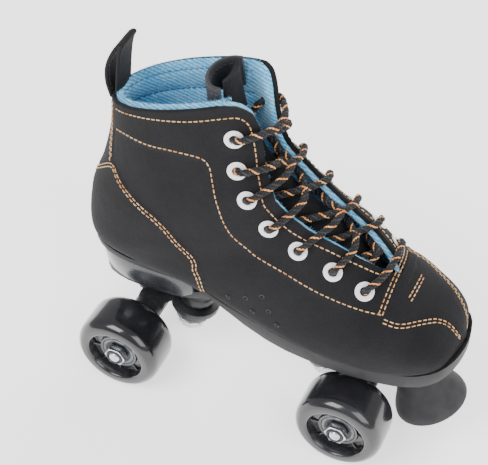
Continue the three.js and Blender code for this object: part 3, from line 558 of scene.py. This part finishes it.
def panel(s, a, points, outline, seams, side):
    """How far a panel stands out over the skin, in mm: a rounded step at its seams, with a stitched dip."""
    inside = within(s, a * side, outline)
    off = np.minimum.reduce([far_from(points, line_on_skin(seam, side)) for seam in seams])
    signed = np.where(inside, off, -off)
    step = np.clip(signed / 1.3 + 0.5, 0, 1)
    return PANEL_RISE * step * step * (3 - 2 * step) - 0.22 * np.exp(-((signed - 1.8) / 0.9) ** 2)


def places_along(seam):
    return list(zip(*smooth_places(seam)))[::3] + [seam[-1]]


heel_outline = [*places_along(heel_seam), (7.2, 2.3), (7.2, 3.3), (2.75, 3.3)]
facing_outline = [*places_along(facing_seam), (8.6, -0.1), (-1, -0.1), (-1, 3.3), (0.91, 3.3)]
strap_outline = [(-1, 2.62), *places_along(strap_seam), (2.35, 2.85), (2.75, 3.3), (-1, 3.3)]
toe_outline = [*places_along(toe_near), *reversed(places_along(toe_far)),
               *reversed(places_along(toe_back)[1:-1])]


def skin_rise(s, a, points):
    """The height of panels, seams and soft creases over the plain last, in mm."""
    rise = np.zeros(s.shape)
    for side in (1, -1):
        for outline, seams in ((heel_outline, [heel_seam]), (facing_outline, [facing_seam]),
                               (strap_outline, [strap_seam])):
            part = panel(s, a, points, outline, seams, side)
            rise = np.where(a * side >= 0, np.maximum(rise, part) + np.minimum(part, 0), rise)
    rise = rise + panel(s, a, points, toe_outline, [toe_near, toe_far, toe_back], 1)
    # Soft creases where the ankle and the ball of the foot bend.
    ankle = np.exp(-((s - 3.6) / 0.9) ** 2) * np.exp(-((np.abs(a) - 1.7) / 0.6) ** 2)
    ball = np.exp(-((s - 8.6) / 0.8) ** 2) * np.exp(-((np.abs(a) - 1.25) / 0.3) ** 2)
    return rise + 0.12 * ankle * np.sin(s * 7 + a * 2.2) + 0.12 * ball * np.sin(s * 11 + a * 3)


# ---------- boot ----------
def boot_rows(last, rows):
    """Stations down the boot, with one where the throat ends."""
    past_throat = np.linspace(throat_end, last, rows * 5 // 9)[1:]
    return np.concatenate([np.linspace(0, throat_end, rows), past_throat])


def boot_angles(s, columns, inset=0.0):
    """Angles from the inner flap's edge round the heel to the outer flap's edge, at each station."""
    first = np.where(s <= throat_end, np.abs(flap_angle(s, -(edge_at(inner_flap_edge, s) - inset))), 0)
    last = np.where(s <= throat_end, np.abs(flap_angle(s, edge_at(outer_flap_edge, s) - inset)), 0)
    v = np.linspace(0, 1, columns)
    angle = first[:, None] + v * (2 * math.pi - last - first)[:, None]
    return np.where(angle > math.pi, angle - 2 * math.pi, angle)


def boot_layer(name, last, outer, inner, rim_lift, round_edge, finish, slot, replaces, inset=0.0,
               rows=150, columns=190):
    """One layer of the boot: its outer and inner face, joined round the collar and the throat."""
    s = boot_rows(last, rows)
    a = boot_angles(s, columns, inset)
    grid = np.broadcast_to(s[:, None], a.shape)
    plain = skin(grid, a)
    out_depth, in_depth = outer(grid, a, plain), inner(grid, a, plain)
    outside, inside = skin(grid, a, out_depth), skin(grid, a, in_depth)
    middle = (outside + inside) / 2

    def edge(column, neighbour):
        away = unit(middle[:, column] - middle[:, neighbour])
        reach = np.where(s <= throat_end, round_edge, 0)[:, None] * MM
        return [(outside[:, column] * 0.75 + inside[:, column] * 0.25) + away * reach * 0.8,
                middle[:, column] + away * reach,
                (outside[:, column] * 0.25 + inside[:, column] * 0.75) + away * reach * 0.8]

    right = np.stack(edge(-1, -2), 1)
    left = np.stack(edge(0, 1)[::-1], 1)
    rings = np.concatenate([outside, right, inside[:, ::-1], left], 1)
    size = rings.shape[1]

    def over_rim(blend, lift):
        ring = rings[0].copy()
        flat = np.concatenate([middle[0], np.repeat(middle[0, -1:], 3, 0), middle[0, ::-1],
                               np.repeat(middle[0, :1], 3, 0)])
        return ring * (1 - blend) + flat * blend + shaft_up * lift * MM

    rim = [over_rim(1, rim_lift), over_rim(0.75, rim_lift * 0.93), over_rim(0.4, rim_lift * 0.7),
           over_rim(0.1, rim_lift * 0.35)]
    tip = np.repeat(middle[-1].mean(0)[None], size, 0)
    points, faces = loft(np.concatenate([rim, rings, tip[None]]), closed=False)
    # Past the throat the two sides run into each other, with no wall between them.
    first_closed = (len(rim) + rows) * size
    walls = {*range(columns - 1, columns + 3), *range(2 * columns + 2, size)}
    faces = [face for k, face in enumerate(faces) if k < first_closed or k % size not in walls]
    return piece(name, points, faces, finish, slot, turn=60, replaces=replaces)


def upper_face(s, a, points):
    return -skin_rise(s, a, points)


boot_layer("boot_upper_nubuck", toe, upper_face, lambda s, a, p: np.full(s.shape, 2.0), 0.8, 0.45,
           black_nubuck, "nubuck", ["boot_upper"])


def lining_face(s, a, points):
    """The lining's inner face, with the padded roll under the collar and the dip of its seam."""
    under_rim = s * 21
    roll = 1.7 * np.sin(np.clip(under_rim / 17, 0, 1) * math.pi) ** 0.8
    dips = 0.7 * np.exp(-((under_rim - 4.5) / 1.1) ** 2) + 0.8 * np.exp(-((under_rim - 17.5) / 1.3) ** 2)
    return lining_inside + roll - dips


lining = boot_layer("boot_lining_terry", toe - 1.4, lambda s, a, p: np.full(s.shape, 2.5), lining_face, 2.1,
                    0.9, terry_blue, "terry", ["boot_lining"], inset=0.7, rows=110, columns=150)


def fuzz(name, finish, slot, seed=7):
    """Cut loop ends along the lining's rim: short tapering fibres that lean every way."""
    dice = random.Random(seed)
    parts = []
    for _ in range(4200):
        on_collar = dice.random() < 0.6
        if on_collar:
            s, a = np.zeros(1), np.array([dice.uniform(0.85, 2 * math.pi - 0.85)])
            a = np.where(a > math.pi, a - 2 * math.pi, a)
            root = skin(s, a, dice.uniform(2.6, 5.2))[0] + shaft_up * dice.uniform(0.4, 1.9) * MM
            way = shaft_up.copy()
        else:
            s = np.array([dice.uniform(0.05, 7.6)])
            side = dice.choice((-1, 1))
            table = inner_flap_edge if side < 0 else outer_flap_edge
            across = side * (edge_at(table, s) - 0.6)
            root = flap(s, across, dice.uniform(2.6, 5.0))[0]
            way = unit((flap(s, across * 0.9) - flap(s, across))[0])
        lean = np.array([dice.gauss(0, 0.55) for _ in range(3)])
        tip = root + (way + lean) * dice.uniform(0.6, 1.5) * MM
        side_way = unit(np.cross(tip - root, [0.3, 0.5, 0.8]))
        third = unit(np.cross(tip - root, side_way))
        wide = 0.13 * MM
        corners = [root + side_way * wide, root - side_way * wide * 0.5 + third * wide * 0.87,
                   root - side_way * wide * 0.5 - third * wide * 0.87, tip]
        parts.append((np.array(corners), [(0, 1, 3), (1, 2, 3), (2, 0, 3), (0, 2, 1)]))
    return piece(name, *merged(parts), finish, slot)


fuzz("lining_rim_loops", terry_blue, "terry")


# ---------- stitching ----------
def beside(seam, side, inset, toward):
    """A line inset mm to one side of a seam, lying on the leather: its points and the ways out."""
    s, a = smooth_places(seam, side)
    bearing = evened(s, a, 1)

    def at(s, bearing):
        return skin(s, evened(s, bearing, -1))

    points, small = at(s, bearing), 0.004
    down = (at(s + small, bearing) - at(s - small, bearing)) / (2 * small)
    round_it = (at(s, bearing + small) - at(s, bearing - small)) / (2 * small)
    out = unit(skin(s, a, -1) - points)
    shift = np.cross(unit(np.gradient(points, axis=0)), out) * toward * inset * MM
    for i in range(len(s)):
        step = np.linalg.lstsq(np.stack([down[i], round_it[i]], 1), shift[i], rcond=None)[0]
        s[i], bearing[i] = s[i] + step[0], bearing[i] + step[1]
    a = evened(s, bearing, -1)
    points = skin(s, a)
    return skin(s, a, -skin_rise(s, a, points)), unit(skin(s, a, -1) - points)


def stitch_run(points, out, lift, length=2.5, space=1.05, radius=0.42):
    """Stitches along a line of points, lift mm out of it, each one sunk at both its ends."""
    line = points + out * lift * MM
    run = run_along(line) / MM
    parts = []
    start = 0.6
    while start + length < run[-1]:
        marks = start + np.array([0, 0.12, 0.5, 0.88, 1]) * length
        path = np.stack([np.interp(marks, run, line[:, k]) for k in range(3)], 1)
        normal = np.stack([np.interp(marks, run, out[:, k]) for k in range(3)], 1)
        path += normal * (np.array([-0.45, 0, 0.12, 0, -0.45]) * MM)[:, None]
        parts.append(tube(path, np.array([0.6, 0.95, 1, 0.95, 0.6]) * radius * MM, 6))
        start += length + space
    return parts


def sewn(name, *rows):
    """One piece of stitching from (seam, side, inset, toward) rows."""
    parts = []
    for seam, side, inset, toward in rows:
        parts += stitch_run(*beside(seam, side, inset, toward * side), STITCH_LIFT)
    return piece(name, *merged(parts), seam_thread, "nubuck")


for side, name in ((1, "inner"), (-1, "outer")):
    sewn(f"heel_counter_stitches_{name}", (heel_seam, side, 1.2, 1), (heel_seam, side, 3.6, 1))
    sewn(f"facing_stitches_{name}", (facing_seam, side, 1.5, -1))
    sewn(f"back_strap_stitches_{name}", (strap_seam, side, 1.2, 1), (strap_seam, side, 3.4, 1))
    table = inner_flap_edge if side > 0 else outer_flap_edge
    edge_line = [(s, abs(float(flap_angle(s, -side * (edge_at(table, s) + 3.4)))))
                 for s in np.linspace(1.1, 7.75, 14)]
    corner = [(0.24, 2.5), (0.24, 2.1), (0.3, 1.7), (0.36, 1.37), (0.38, 1.02), (0.45, 0.8), (0.7, 0.64)]
    sewn(f"collar_stitches_{name}", ([*corner, *edge_line], side, 0, 1))

sewn("toe_panel_stitches", *[(seam, 1, inset, toward)
                             for seam, toward in ((toe_near, 1), (toe_far, -1), (toe_back, -1))
                             for inset in (1.3, 3.6)])
slot = [
    [(9.02, -0.17), (8.99, 0.05), (8.97, 0.28)], [(9.17, -0.15), (9.16, 0.05), (9.15, 0.28)],
    [(9.02, -0.18), (9.1, -0.18), (9.17, -0.17)], [(8.97, 0.3), (9.06, 0.3), (9.15, 0.3)],
]
sewn("toe_slot_stitches", *[(side_of_slot, 1, 0, 1) for side_of_slot in slot])


def lining_stitches(name, under_rim, depth):
    """Dark stitches round the inside of the collar."""
    s = under_rim / 21
    seam = [(s, a) for a in np.linspace(0.85, 2 * math.pi - 0.85, 40)]
    points = skin([p[0] for p in seam], [p[1] for p in seam], depth)
    points = smooth_path(points, 0.5 * MM)
    centre = points.mean(0)
    out = centre - points
    out = unit(out - shaft_up * (out @ shaft_up)[:, None])
    return piece(name, *merged(stitch_run(points, out, 0.1, 2.6, 1.0, 0.4)), blue_thread, "terry")


lining_stitches("collar_seam_upper", 4.5, 6.4)
lining_stitches("collar_seam_lower", 17.5, 5.4)


def vents():
    """Punched breathing holes at the arch, each a dark well of painted shade with a pressed lip."""
    parts = []
    # The well's black floor, 0.6 mm under the leather, is painted shade for the hole's depth.
    lip = [[0, -0.6], [0.9, -0.5], [1.15, 0.32], [1.5, 0.42], [1.75, 0.15], [1.8, -0.8], [0, -0.8]]
    places = [(6.26, 1.66), (6.35, 1.57), (6.4, 1.4), (6.7, 1.63), (6.78, 1.52), (7.17, 1.6)]
    for side in (1, -1):
        for s, a in places:
            a = a * side
            base, out = skin(s, a), skin(s, a, -1) - skin(s, a)
            parts.append(turned(lip, standing(base, out), 20))
    return piece("vent_holes", *merged(parts), black_parts_and_hole_shade, "nubuck")


vents()


# ---------- tongue and loops ----------
def ease(low, high, s):
    t = np.clip((s - low) / (high - low), 0, 1)
    return t * t * (3 - 2 * t)


def tongue():
    """The padded tongue: a long strip that opens out flatter over the collar, with rounded sides."""
    s = np.concatenate([np.zeros(6), np.linspace(0, 9, 110)[1:]])
    lift = np.concatenate([np.linspace(3.4, 1.2, 6), np.linspace(1, 0, 109) ** 8 * 1.0])
    opened = ease(0, 2.4, 2.4 - s)
    half = 23 - 11 * opened - 5 * ease(4, 8, s)
    top = tongue_top + (lining_inside + 0.45 - tongue_top) * ease(7.9, 8.7, s)
    rings = []
    for k, station in enumerate(s):
        t = np.linspace(-1, 1, 31)
        edge = 1 - 0.35 * ease(0.8, 1.0, np.abs(t))
        dip = 0.25 * np.exp(-((np.abs(t) * half[k] - half[k] + 3.5) / 0.8) ** 2)
        thinning = tongue_thickness * (1 - edge) / 2
        upper_depth = top[k] + thinning + dip
        lower_depth = top[k] + tongue_thickness - thinning
        both = [(t, upper_depth), (t[::-1], lower_depth[::-1])]
        ring = []
        for u, d in both:
            ridge = flap(station, 0.0, d)
            bend = flap(np.full(u.shape, station), u * half[k], d) - ridge
            flatter = 1 - 0.5 * opened[k]
            ring.append(ridge + bend * np.array([flatter, 1 + 0.8 * opened[k], flatter]))
        ring = np.concatenate(ring)
        ring[:, 0] -= tongue_lean * opened[k] * MM
        rings.append(ring + shaft_up * lift[k] * MM)
    made = piece("tongue_padded", *loft(capped(rings), closed=False), tongue_nubuck, "webbing", turn=60,
                 replaces=["tongue"])


tongue()


def heel_loop():
    """A folded flat strap that stands on the collar's back, with rounded edges and two rows of stitches."""
    collar_back = skin(0, math.pi)
    half, thick = 8.7, 1.05
    line = smooth_path([(x, 0, z) for x, z in [
        (3.9, -1.5), (4.9, 8), (6.0, 18), (7.6, 29), (9.4, 36), (11.0, 39.4), (8.8, 38.6), (3.8, 31.5),
        (-0.9, 20), (-1.6, 9), (0.6, -1),
    ]], 0.8)
    out = np.cross(unit(np.gradient(line, axis=0)), [0, 1, 0])
    edge = [(half, 0), (half - 0.35, thick * 0.8), (half - 1, thick), (half - 2.6, thick * 0.82),
            (half - 4, thick)]
    profile = [*[(-y, z) for y, z in edge], (0, thick), *reversed(edge)]
    profile += [(y, -z) for y, z in reversed(profile[1:-1])]
    rings = [p + np.array([u * o + np.array([0, y, 0]) for y, u in profile]) for p, o in zip(line, out)]
    rings = np.array(rings) * MM + collar_back
    piece("heel_pull_loop_strap", *loft(capped(rings), closed=False), black_panel, "webbing", turn=50,
          replaces=["heel_pull_loop"])
    parts = []
    for y in (-half + 2.6, half - 2.6):
        row = (line + np.array([0, y, 0])) * MM + collar_back
        parts += stitch_run(row, out, thick * 0.85, 2.4, 1.0, 0.36)
    piece("heel_pull_loop_stitches", *merged(parts), lace_grey, "webbing")


heel_loop()


def tongue_loop():
    """A band behind the tongue's top, sewn down at both its ends and bowed out between them."""
    crest = flap(0, 0.0, tongue_top + tongue_thickness) - shaft_up * 16 * MM
    crest[0] -= tongue_lean * MM
    backward = np.array([shaft_up[2], 0, -shaft_up[0]])
    half_band = [(0.8, 15.4), (-4, 14.6), (-8.6, 11.4), (-11.6, 5.6)]
    line = smooth_path([*[(x, -y) for x, y in half_band], (-12.4, 0), *reversed(half_band)], 0.7)
    along = unit(np.gradient(line, axis=0))
    out = np.stack([-along[:, 1], along[:, 0]], 1)

    def stand(place, way, aside, height):
        x, y = place + way * aside
        return crest + (backward * x + np.array([0, y, 0]) + shaft_up * height) * MM

    wall = [
        (-1.1, 0.8), (-0.7, 0.1), (0.7, 0.1), (1.1, 0.8), (1.1, 3.4), (0.75, 4.4), (1.1, 5.4), (1.1, 14.6),
        (0.75, 15.6), (1.1, 16.6), (1.1, 19.2), (0.7, 19.9), (-0.7, 19.9), (-1.1, 19.2), (-1.1, 15.6),
        (-1.1, 4.4),
    ]
    rings = [[stand(p, o, aside, height) for aside, height in wall] for p, o in zip(line, out)]
    piece("tongue_top_loop", *loft(capped(rings), closed=False), webbing, "webbing", turn=50)
    parts = []
    for height in (4.4, 15.6):
        for face in (-1, 1):
            row = np.array([stand(p, o, face, height) for p, o in zip(line, out)])
            way = np.array([face * (backward * o[0] + np.array([0, o[1], 0])) for o in out])
            parts += stitch_run(row, way, 0.05, 2.4, 1.0, 0.36)
    piece("tongue_loop_stitches", *merged(parts), lace_grey, "webbing")


tongue_loop()


# ---------- eyelets and lace ----------
inner_eyelets = [[7.5, 23], [6.45, 23], [5.4, 22.5], [4.15, 23], [2.9, 24], [1.85, 22.5], [0.95, 21]]
outer_eyelets = [[7.5, 16.5], [6.45, 17.5], [5.4, 18.5], [4.15, 21], [2.9, 22], [1.85, 20.5], [0.95, 19]]


class Seat:
    """An eyelet's place on the boot: station, distance across, middle and the way it faces."""

    def __init__(self, place, side):
        self.s = place[0]
        self.across = side * place[1]
        self.middle = flap(self.s, self.across)
        down = flap(self.s + 0.1, self.across) - flap(self.s - 0.1, self.across)
        over = flap(self.s, self.across + 1) - flap(self.s, self.across - 1)
        facing = np.cross(over, down)
        self.facing = unit(facing) * (1 if facing[2] > 0 else -1)

    def near(self, height, aside, towards):
        """A point over the seat, in mm, and aside of it towards another point."""
        step = towards - self.middle
        step = unit(step - self.facing * (step @ self.facing))
        return self.middle + self.facing * height * MM + step * aside * MM

    def over(self, towards):
        return [self.near(h, t, towards) for h, t in [[-3.4, 0], [-1, 0], [1.2, 0.1], [3.2, 1.3], [4, 3.6]]]

    def under(self, towards):
        steps = [[-lace_depth - 0.3, 4.6], [-lace_depth + 0.3, 2.2], [-6.4, 0.6]]
        return [self.near(h, t, towards) for h, t in steps]


inner_seats = [Seat(place, -1) for place in inner_eyelets]
outer_seats = [Seat(place, 1) for place in outer_eyelets]
for label, seats in (("inner", inner_seats), ("outer", outer_seats)):
    for k, seat in enumerate(seats, 1):
        face = [[2.75, -2], [2.75, 1.25], [5.85, 1.0], [5.8, 0.15], [3.3, 0.1], [3.3, -2], [2.75, -2]]
        face = rounded(face, 0.45)
        face[-1] = face[0]
        stand = standing(seat.middle + seat.facing * PANEL_RISE * 0.55 * MM, seat.facing)
        piece(f"eyelet_ring_{label}_{k}", *turned(face, stand, 40), enamel, "eyelet_enamel",
              replaces=[f"eyelet_{label}_{k}"])

lace_over = lace_radius + 0.8


def crossing(start, end, dip):
    """Out of one eyelet, over its own flap, across the tongue, under the other flap and up into the next."""
    side = np.sign(start.across)
    own_table, far_table = (inner_flap_edge, outer_flap_edge)[::1 if side < 0 else -1]

    def station(t):
        return start.s + (end.s - start.s) * t

    own, far = edge_at(own_table, station(0.25)), edge_at(far_table, station(0.75))
    leaving, arriving = flap(station(0.25), side * own), flap(station(0.75), -side * far)
    return [
        *start.over(leaving),
        flap(station(0.27), side * own, -lace_over),
        flap(station(0.37), side * own * 0.55, (dip - lace_over) / 2),
        flap(station(0.5), 0.0, dip),
        flap(station(0.66), -side * (far - 4.5), dip + (lace_depth - dip) * 0.95),
        flap(station(0.77), -side * far, lace_depth),
        *end.under(arriving),
    ]


def low_crossing(start, end, dip):
    """Under both flaps, from one eyelet down and up into the other."""
    def at(t, across, depth):
        return flap(start.s + (end.s - start.s) * t, across, depth)

    first, last = at(0.3, start.across * 0.42, lace_depth), at(0.7, end.across * 0.42, lace_depth)
    return [*start.under(first)[::-1], first, at(0.5, 0.0, dip), last, *end.under(last)]


def lace_route():
    """From the tucked inner end, down one side of the crossings, over the bottom bar and up the other."""
    inner, outer = inner_seats, outer_seats

    def climb(first, second, crossings):
        route = []
        for k in range(crossings):
            pair = (first[k + 1], second[k + 2]) if k % 2 else (second[k + 1], first[k + 2])
            route += crossing(*pair, -0.6 if k % 2 else lace_depth - 2.4)
        return route

    up = [*low_crossing(inner[0], outer[1], lace_depth - 4.6), *climb(inner, outer, 5)]
    down = [*low_crossing(outer[0], inner[1], lace_depth), *climb(outer, inner, 4)][::-1]
    tucked_end = [
        flap(3.4, 33.0, lace_depth), flap(3.1, 28.0, lace_depth), flap(2.75, 20.0, lace_depth),
        flap(2.5, 12.0, lace_depth), flap(2.3, 0.0, lace_depth - 3), flap(2.1, -9.0, 0.5),
        flap(2.0, -13.5, -lace_over), *inner[5].over(flap(2.0, -13.0))[::-1],
    ]
    bar = -lace_over - 1
    bottom_bar = [
        *outer[0].over(flap(7.55, 8.0)), flap(7.5, 8.0, bar), flap(7.5, 0.0, bar), flap(7.5, -8.0, bar),
        flap(7.5, -15.0, bar), *inner[0].over(flap(7.5, -15.0))[::-1],
    ]
    top_end = [
        *inner[6].over(flap(1.0, -13.0)), flap(1.0, -13.0, -lace_over), flap(1.05, -6.0, -lace_over),
        flap(1.05, 4.0, -lace_over), flap(1.0, 12.0, -lace_over), *outer[6].over(flap(1.0, 12.0))[::-1],
        *outer[6].under(flap(1.7, 26.0))[::-1], flap(1.7, 27.0, lace_depth - 0.4),
        flap(2.2, 31.0, lace_depth - 0.4), flap(2.5, 33.0, lace_depth - 0.4),
    ]
    return [*tucked_end, *down, *bottom_bar, *up, *top_end]


def lace():
    """A round braid: eight yarns wound both ways over a core, one of them orange."""
    path = smooth_path(lace_route(), 0.85 * MM)
    tangents, normals = frames_along(path)
    sideways = np.cross(tangents, normals)
    run = np.arange(len(path)) * 0.85
    pitch = 10.5
    piece("lace_core", *tube(path, 1.45 * MM, 10), lace_black, "lace_cord", turn=70, replaces=["lace"])
    yarns = {
        "lace_yarns_black": (lace_black, []), "lace_yarn_orange": (lace_fleck, []),
        "lace_yarn_grey": (lace_grey, []),
    }
    for k in range(8):
        way = 1 if k < 4 else -1
        turn = k % 4 * math.pi / 2 + way * 2 * math.pi * run / pitch + (math.pi / 4 if way < 0 else 0)
        weave = 0.2 * way * np.cos(4 * 2 * math.pi * run / pitch + k % 2 * math.pi)
        bold = k == 0
        radius = 1.52 + (0.12 if bold else weave)
        spiral = path + ((np.cos(turn)[:, None] * normals + np.sin(turn)[:, None] * sideways)
                         * (np.broadcast_to(radius, run.shape) * MM)[:, None])
        label = "lace_yarn_orange" if bold else "lace_yarn_grey" if k == 2 else "lace_yarns_black"
        yarns[label][1].append(tube(spiral, (0.6 if bold else 0.62) * MM, 6))
    for label, (finish, parts) in yarns.items():
        piece(label, *merged(parts), finish, "lace_cord", turn=80)


lace()


# ---------- hard pieces ----------
def refined(node, finish, body="root", edge=0.5, turn=38, voxel=0.0):
    """A copy of a CAD solid with its coplanar facets joined and its corners rounded, or remeshed and
    smoothed where it is soft."""
    made = bpy.data.objects.new(node + "_finished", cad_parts[node].data.copy())
    work = bmesh.new()
    work.from_mesh(made.data)
    bmesh.ops.remove_doubles(work, verts=work.verts, dist=5e-6)
    bmesh.ops.dissolve_limit(work, angle_limit=math.radians(1), verts=work.verts, edges=work.edges)
    work.to_mesh(made.data)
    work.free()
    bpy.context.scene.collection.objects.link(made)
    if voxel:
        remesh = made.modifiers.new("remesh", "REMESH")
        remesh.voxel_size = voxel * MM
        soften = made.modifiers.new("soften", "SMOOTH")
        soften.iterations = 12
        soften.factor = 0.6
    else:
        bevel = made.modifiers.new("bevel", "BEVEL")
        bevel.width = edge * MM
        bevel.segments = 2
        bevel.limit_method = "ANGLE"
        bevel.angle_limit = math.radians(turn)
    evaluated = made.evaluated_get(bpy.context.evaluated_depsgraph_get())
    mesh = bpy.data.meshes.new_from_object(evaluated)
    made.modifiers.clear()
    made.data = mesh
    bpy.context.scene.collection.objects.unlink(made)
    return finished(made, finish, body, turn, [node])


refined("insole", insole_knit, voxel=2.5)
refined("outsole", sole_rubber, edge=0.7, turn=30)
refined("heel_block", heel_gloss, edge=0.9, turn=30)
refined("plate", nylon, edge=0.8)
refined("toe_stop_jam_nut", zinc, edge=0.5, turn=45)
for end in ("front", "rear"):
    for side in ("outer", "inner"):
        refined(f"mount_bolt_{end}_{side}", zinc, edge=0.3, turn=50)
    refined(f"kingpin_{end}", zinc, edge=0.6, turn=50)
    refined(f"kingpin_nut_{end}", zinc, edge=0.5, turn=50)
    refined(f"pivot_cup_{end}", cushion_urethane, edge=0.4, turn=50)
    refined(f"hanger_{end}", powder_coat, f"truck_{end}", edge=0.9, turn=34)
    for level in ("upper", "lower"):
        refined(f"cushion_{level}_{end}", cushion_urethane, edge=0.9, turn=40)


def across(node_middle, side=1):
    """A place at a node's middle, with Z laid along Y to a side."""
    return Matrix.Translation(node_middle) @ Matrix.Rotation(-side * math.pi / 2, 4, "X")


def wheels():
    half, radius = wheel_width / 2 / MM, wheel_radius / MM
    recess = 5.7
    floor_height = half - recess
    for end in ("front", "rear"):
        for side, way in (("outer", 1), ("inner", -1)):
            corner = f"{end}_{side}"
            body = f"rolling_{corner}"
            stand = across(middle_of(f"wheel_{corner}"), way)
            face = [[18.0, floor_height + 0.6], [19.2, half - 0.5], [20.4, half], [22.6, half],
                    [24.5, half - 0.15], [27, half - 1.9], [28.6, half - 4.9], [radius, half - 8.5]]
            face = rounded(face, 1.4, 3)
            hub = [[11.4, floor_height - 6.8], [11.4, floor_height], [13.0, floor_height + 0.25],
                   [13.6, floor_height - 1.1], [17.4, floor_height - 1.1]]
            one = [[7.6, floor_height - 7.2], *hub, *face]
            profile = [*one, *[[r, -h] for r, h in reversed(one)], one[0]]
            parts = [turned(profile, stand, 96)]
            for way_out in (1, -1):
                for k in range(8):
                    angle = k / 8 * 2 * math.pi
                    rib = np.array([(12.6, 0), (15.2, 0.35), (18.2, 0.7)])
                    path = [(r * math.cos(angle), r * math.sin(angle), way_out * (floor_height - 1.0 + h))
                            for r, h in rib]
                    points, faces = tube(np.array(path) * MM, 0.8 * MM, 8)
                    parts.append(([stand @ Vector(p) for p in points], faces))
            piece(f"wheel_cast_{corner}", *merged(parts), urethane, "wheel_urethane", body, 40,
                  replaces=[f"wheel_{corner}"])
            for where in ("outboard", "inboard"):
                node = f"bearing_{where}_{corner}"
                race = [[4.3, -3.5], [6.2, -3.5], [6.2, -3.2], [9.2, -3.2], [9.2, -3.5], [11, -3.5],
                        [11, 3.5], [9.2, 3.5], [9.2, 3.2], [6.2, 3.2], [6.2, 3.5], [4.3, 3.5], [4.3, -3.5]]
                stand = across(middle_of(node), way)
                piece(f"bearing_rings_{where}_{corner}", *turned(race, stand, 64), steel, "bearing_steel", body,
                      30, replaces=[node])
                cover = [[6.3, -3.3], [9.1, -3.3], [9.1, 3.3], [6.3, 3.3], [6.3, -3.3]]
                piece(f"bearing_shield_{where}_{corner}", *turned(cover, stand, 64), black_parts_and_hole_shade,
                      "bearing_steel", body, 30)


wheels()


def axles():
    for end in ("front", "rear"):
        low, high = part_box(f"axle_{end}")
        half = (high.y - low.y) / 2 / MM
        thread_start = half - 7
        rod = [[0, -half], [3.3, -half], [4, -half + 0.8]]
        crests = np.arange(-half + 1, -thread_start, 0.6)
        rod += [[3.62 if k % 2 else 4.0, h] for k, h in enumerate(crests)]
        profile = [*rod, *[[r, -h] for r, h in reversed(rod)]]
        stand = across(middle_of(f"axle_{end}"))
        piece(f"axle_threaded_{end}", *turned(profile, stand, 40), zinc, "zinc_steel", f"truck_{end}", 25,
              replaces=[f"axle_{end}"])
        for side, way in (("outer", 1), ("inner", -1)):
            node = f"axle_nut_{end}_{side}"
            refined(node, zinc, f"truck_{end}", edge=0.6, turn=50)
            collar = [[4.2, 2.4], [6.0, 2.4], [5.6, 3.2], [4.9, 3.5], [4.2, 3.3], [4.2, 2.4]]
            stand = across(middle_of(node), way)
            piece(f"locknut_collar_{end}_{side}", *turned(collar, stand, 40), black_parts_and_hole_shade, "zinc_steel",
                  f"truck_{end}", 40)


axles()


def toe_stop():
    """The stop's pad and stem, drawn about the stem from the middle of the pad's face."""
    lean, ahead, drop = math.radians(25), 0.045, 0.0085
    face_z = axle_height - drop
    face = Matrix.Translation(Vector((middle_of("axle_front").x + ahead, 0, face_z)))
    stand = face @ Matrix.Rotation(-lean, 4, "Y")
    pad = [[0, 0], [22.6, 0], [24, 1.6], [23.2, 6], [18, 17], [15, 28], [7.4, 28], [7.4, 10], [0, 10]]
    pad = rounded(pad, 1.6, 4)
    piece("toe_stop_rubber", *turned(pad, stand, 72), stop_rubber, "stop_rubber", "toe_stop", 40,
          replaces=["toe_stop_pad"])
    top = (plate_top - face_z) / MM / math.cos(lean) - 7 * math.tan(lean) - 2
    stem = [[0, 10.3], [6.3, 10.3], [6.9, 11]]
    stem += [[6.35 if k % 2 else 7.0, h] for k, h in enumerate(np.arange(11.6, top - 1, 0.75))]
    stem += [[6.2, top - 0.4], [5.6, top], [2.6, top], [2.6, top - 4], [0, top - 4]]
    piece("toe_stop_threaded_stem", *turned(stem, stand, 48), zinc, "zinc_steel", "toe_stop", 25,
          replaces=["toe_stop_stem"])


toe_stop()


# ---------- floor ----------
floor_mesh = bpy.data.meshes.new("studio_floor")
wide = 6.0
floor_corners = [(-wide, -wide, 0), (wide, -wide, 0), (wide, wide, 0), (-wide, wide, 0)]
floor_mesh.from_pydata(floor_corners, [], [(0, 1, 2, 3)])
floor = bpy.data.objects.new("studio_floor", floor_mesh)
floor_mesh.materials.append(floor_paint)
bpy.context.scene.collection.objects.link(floor)
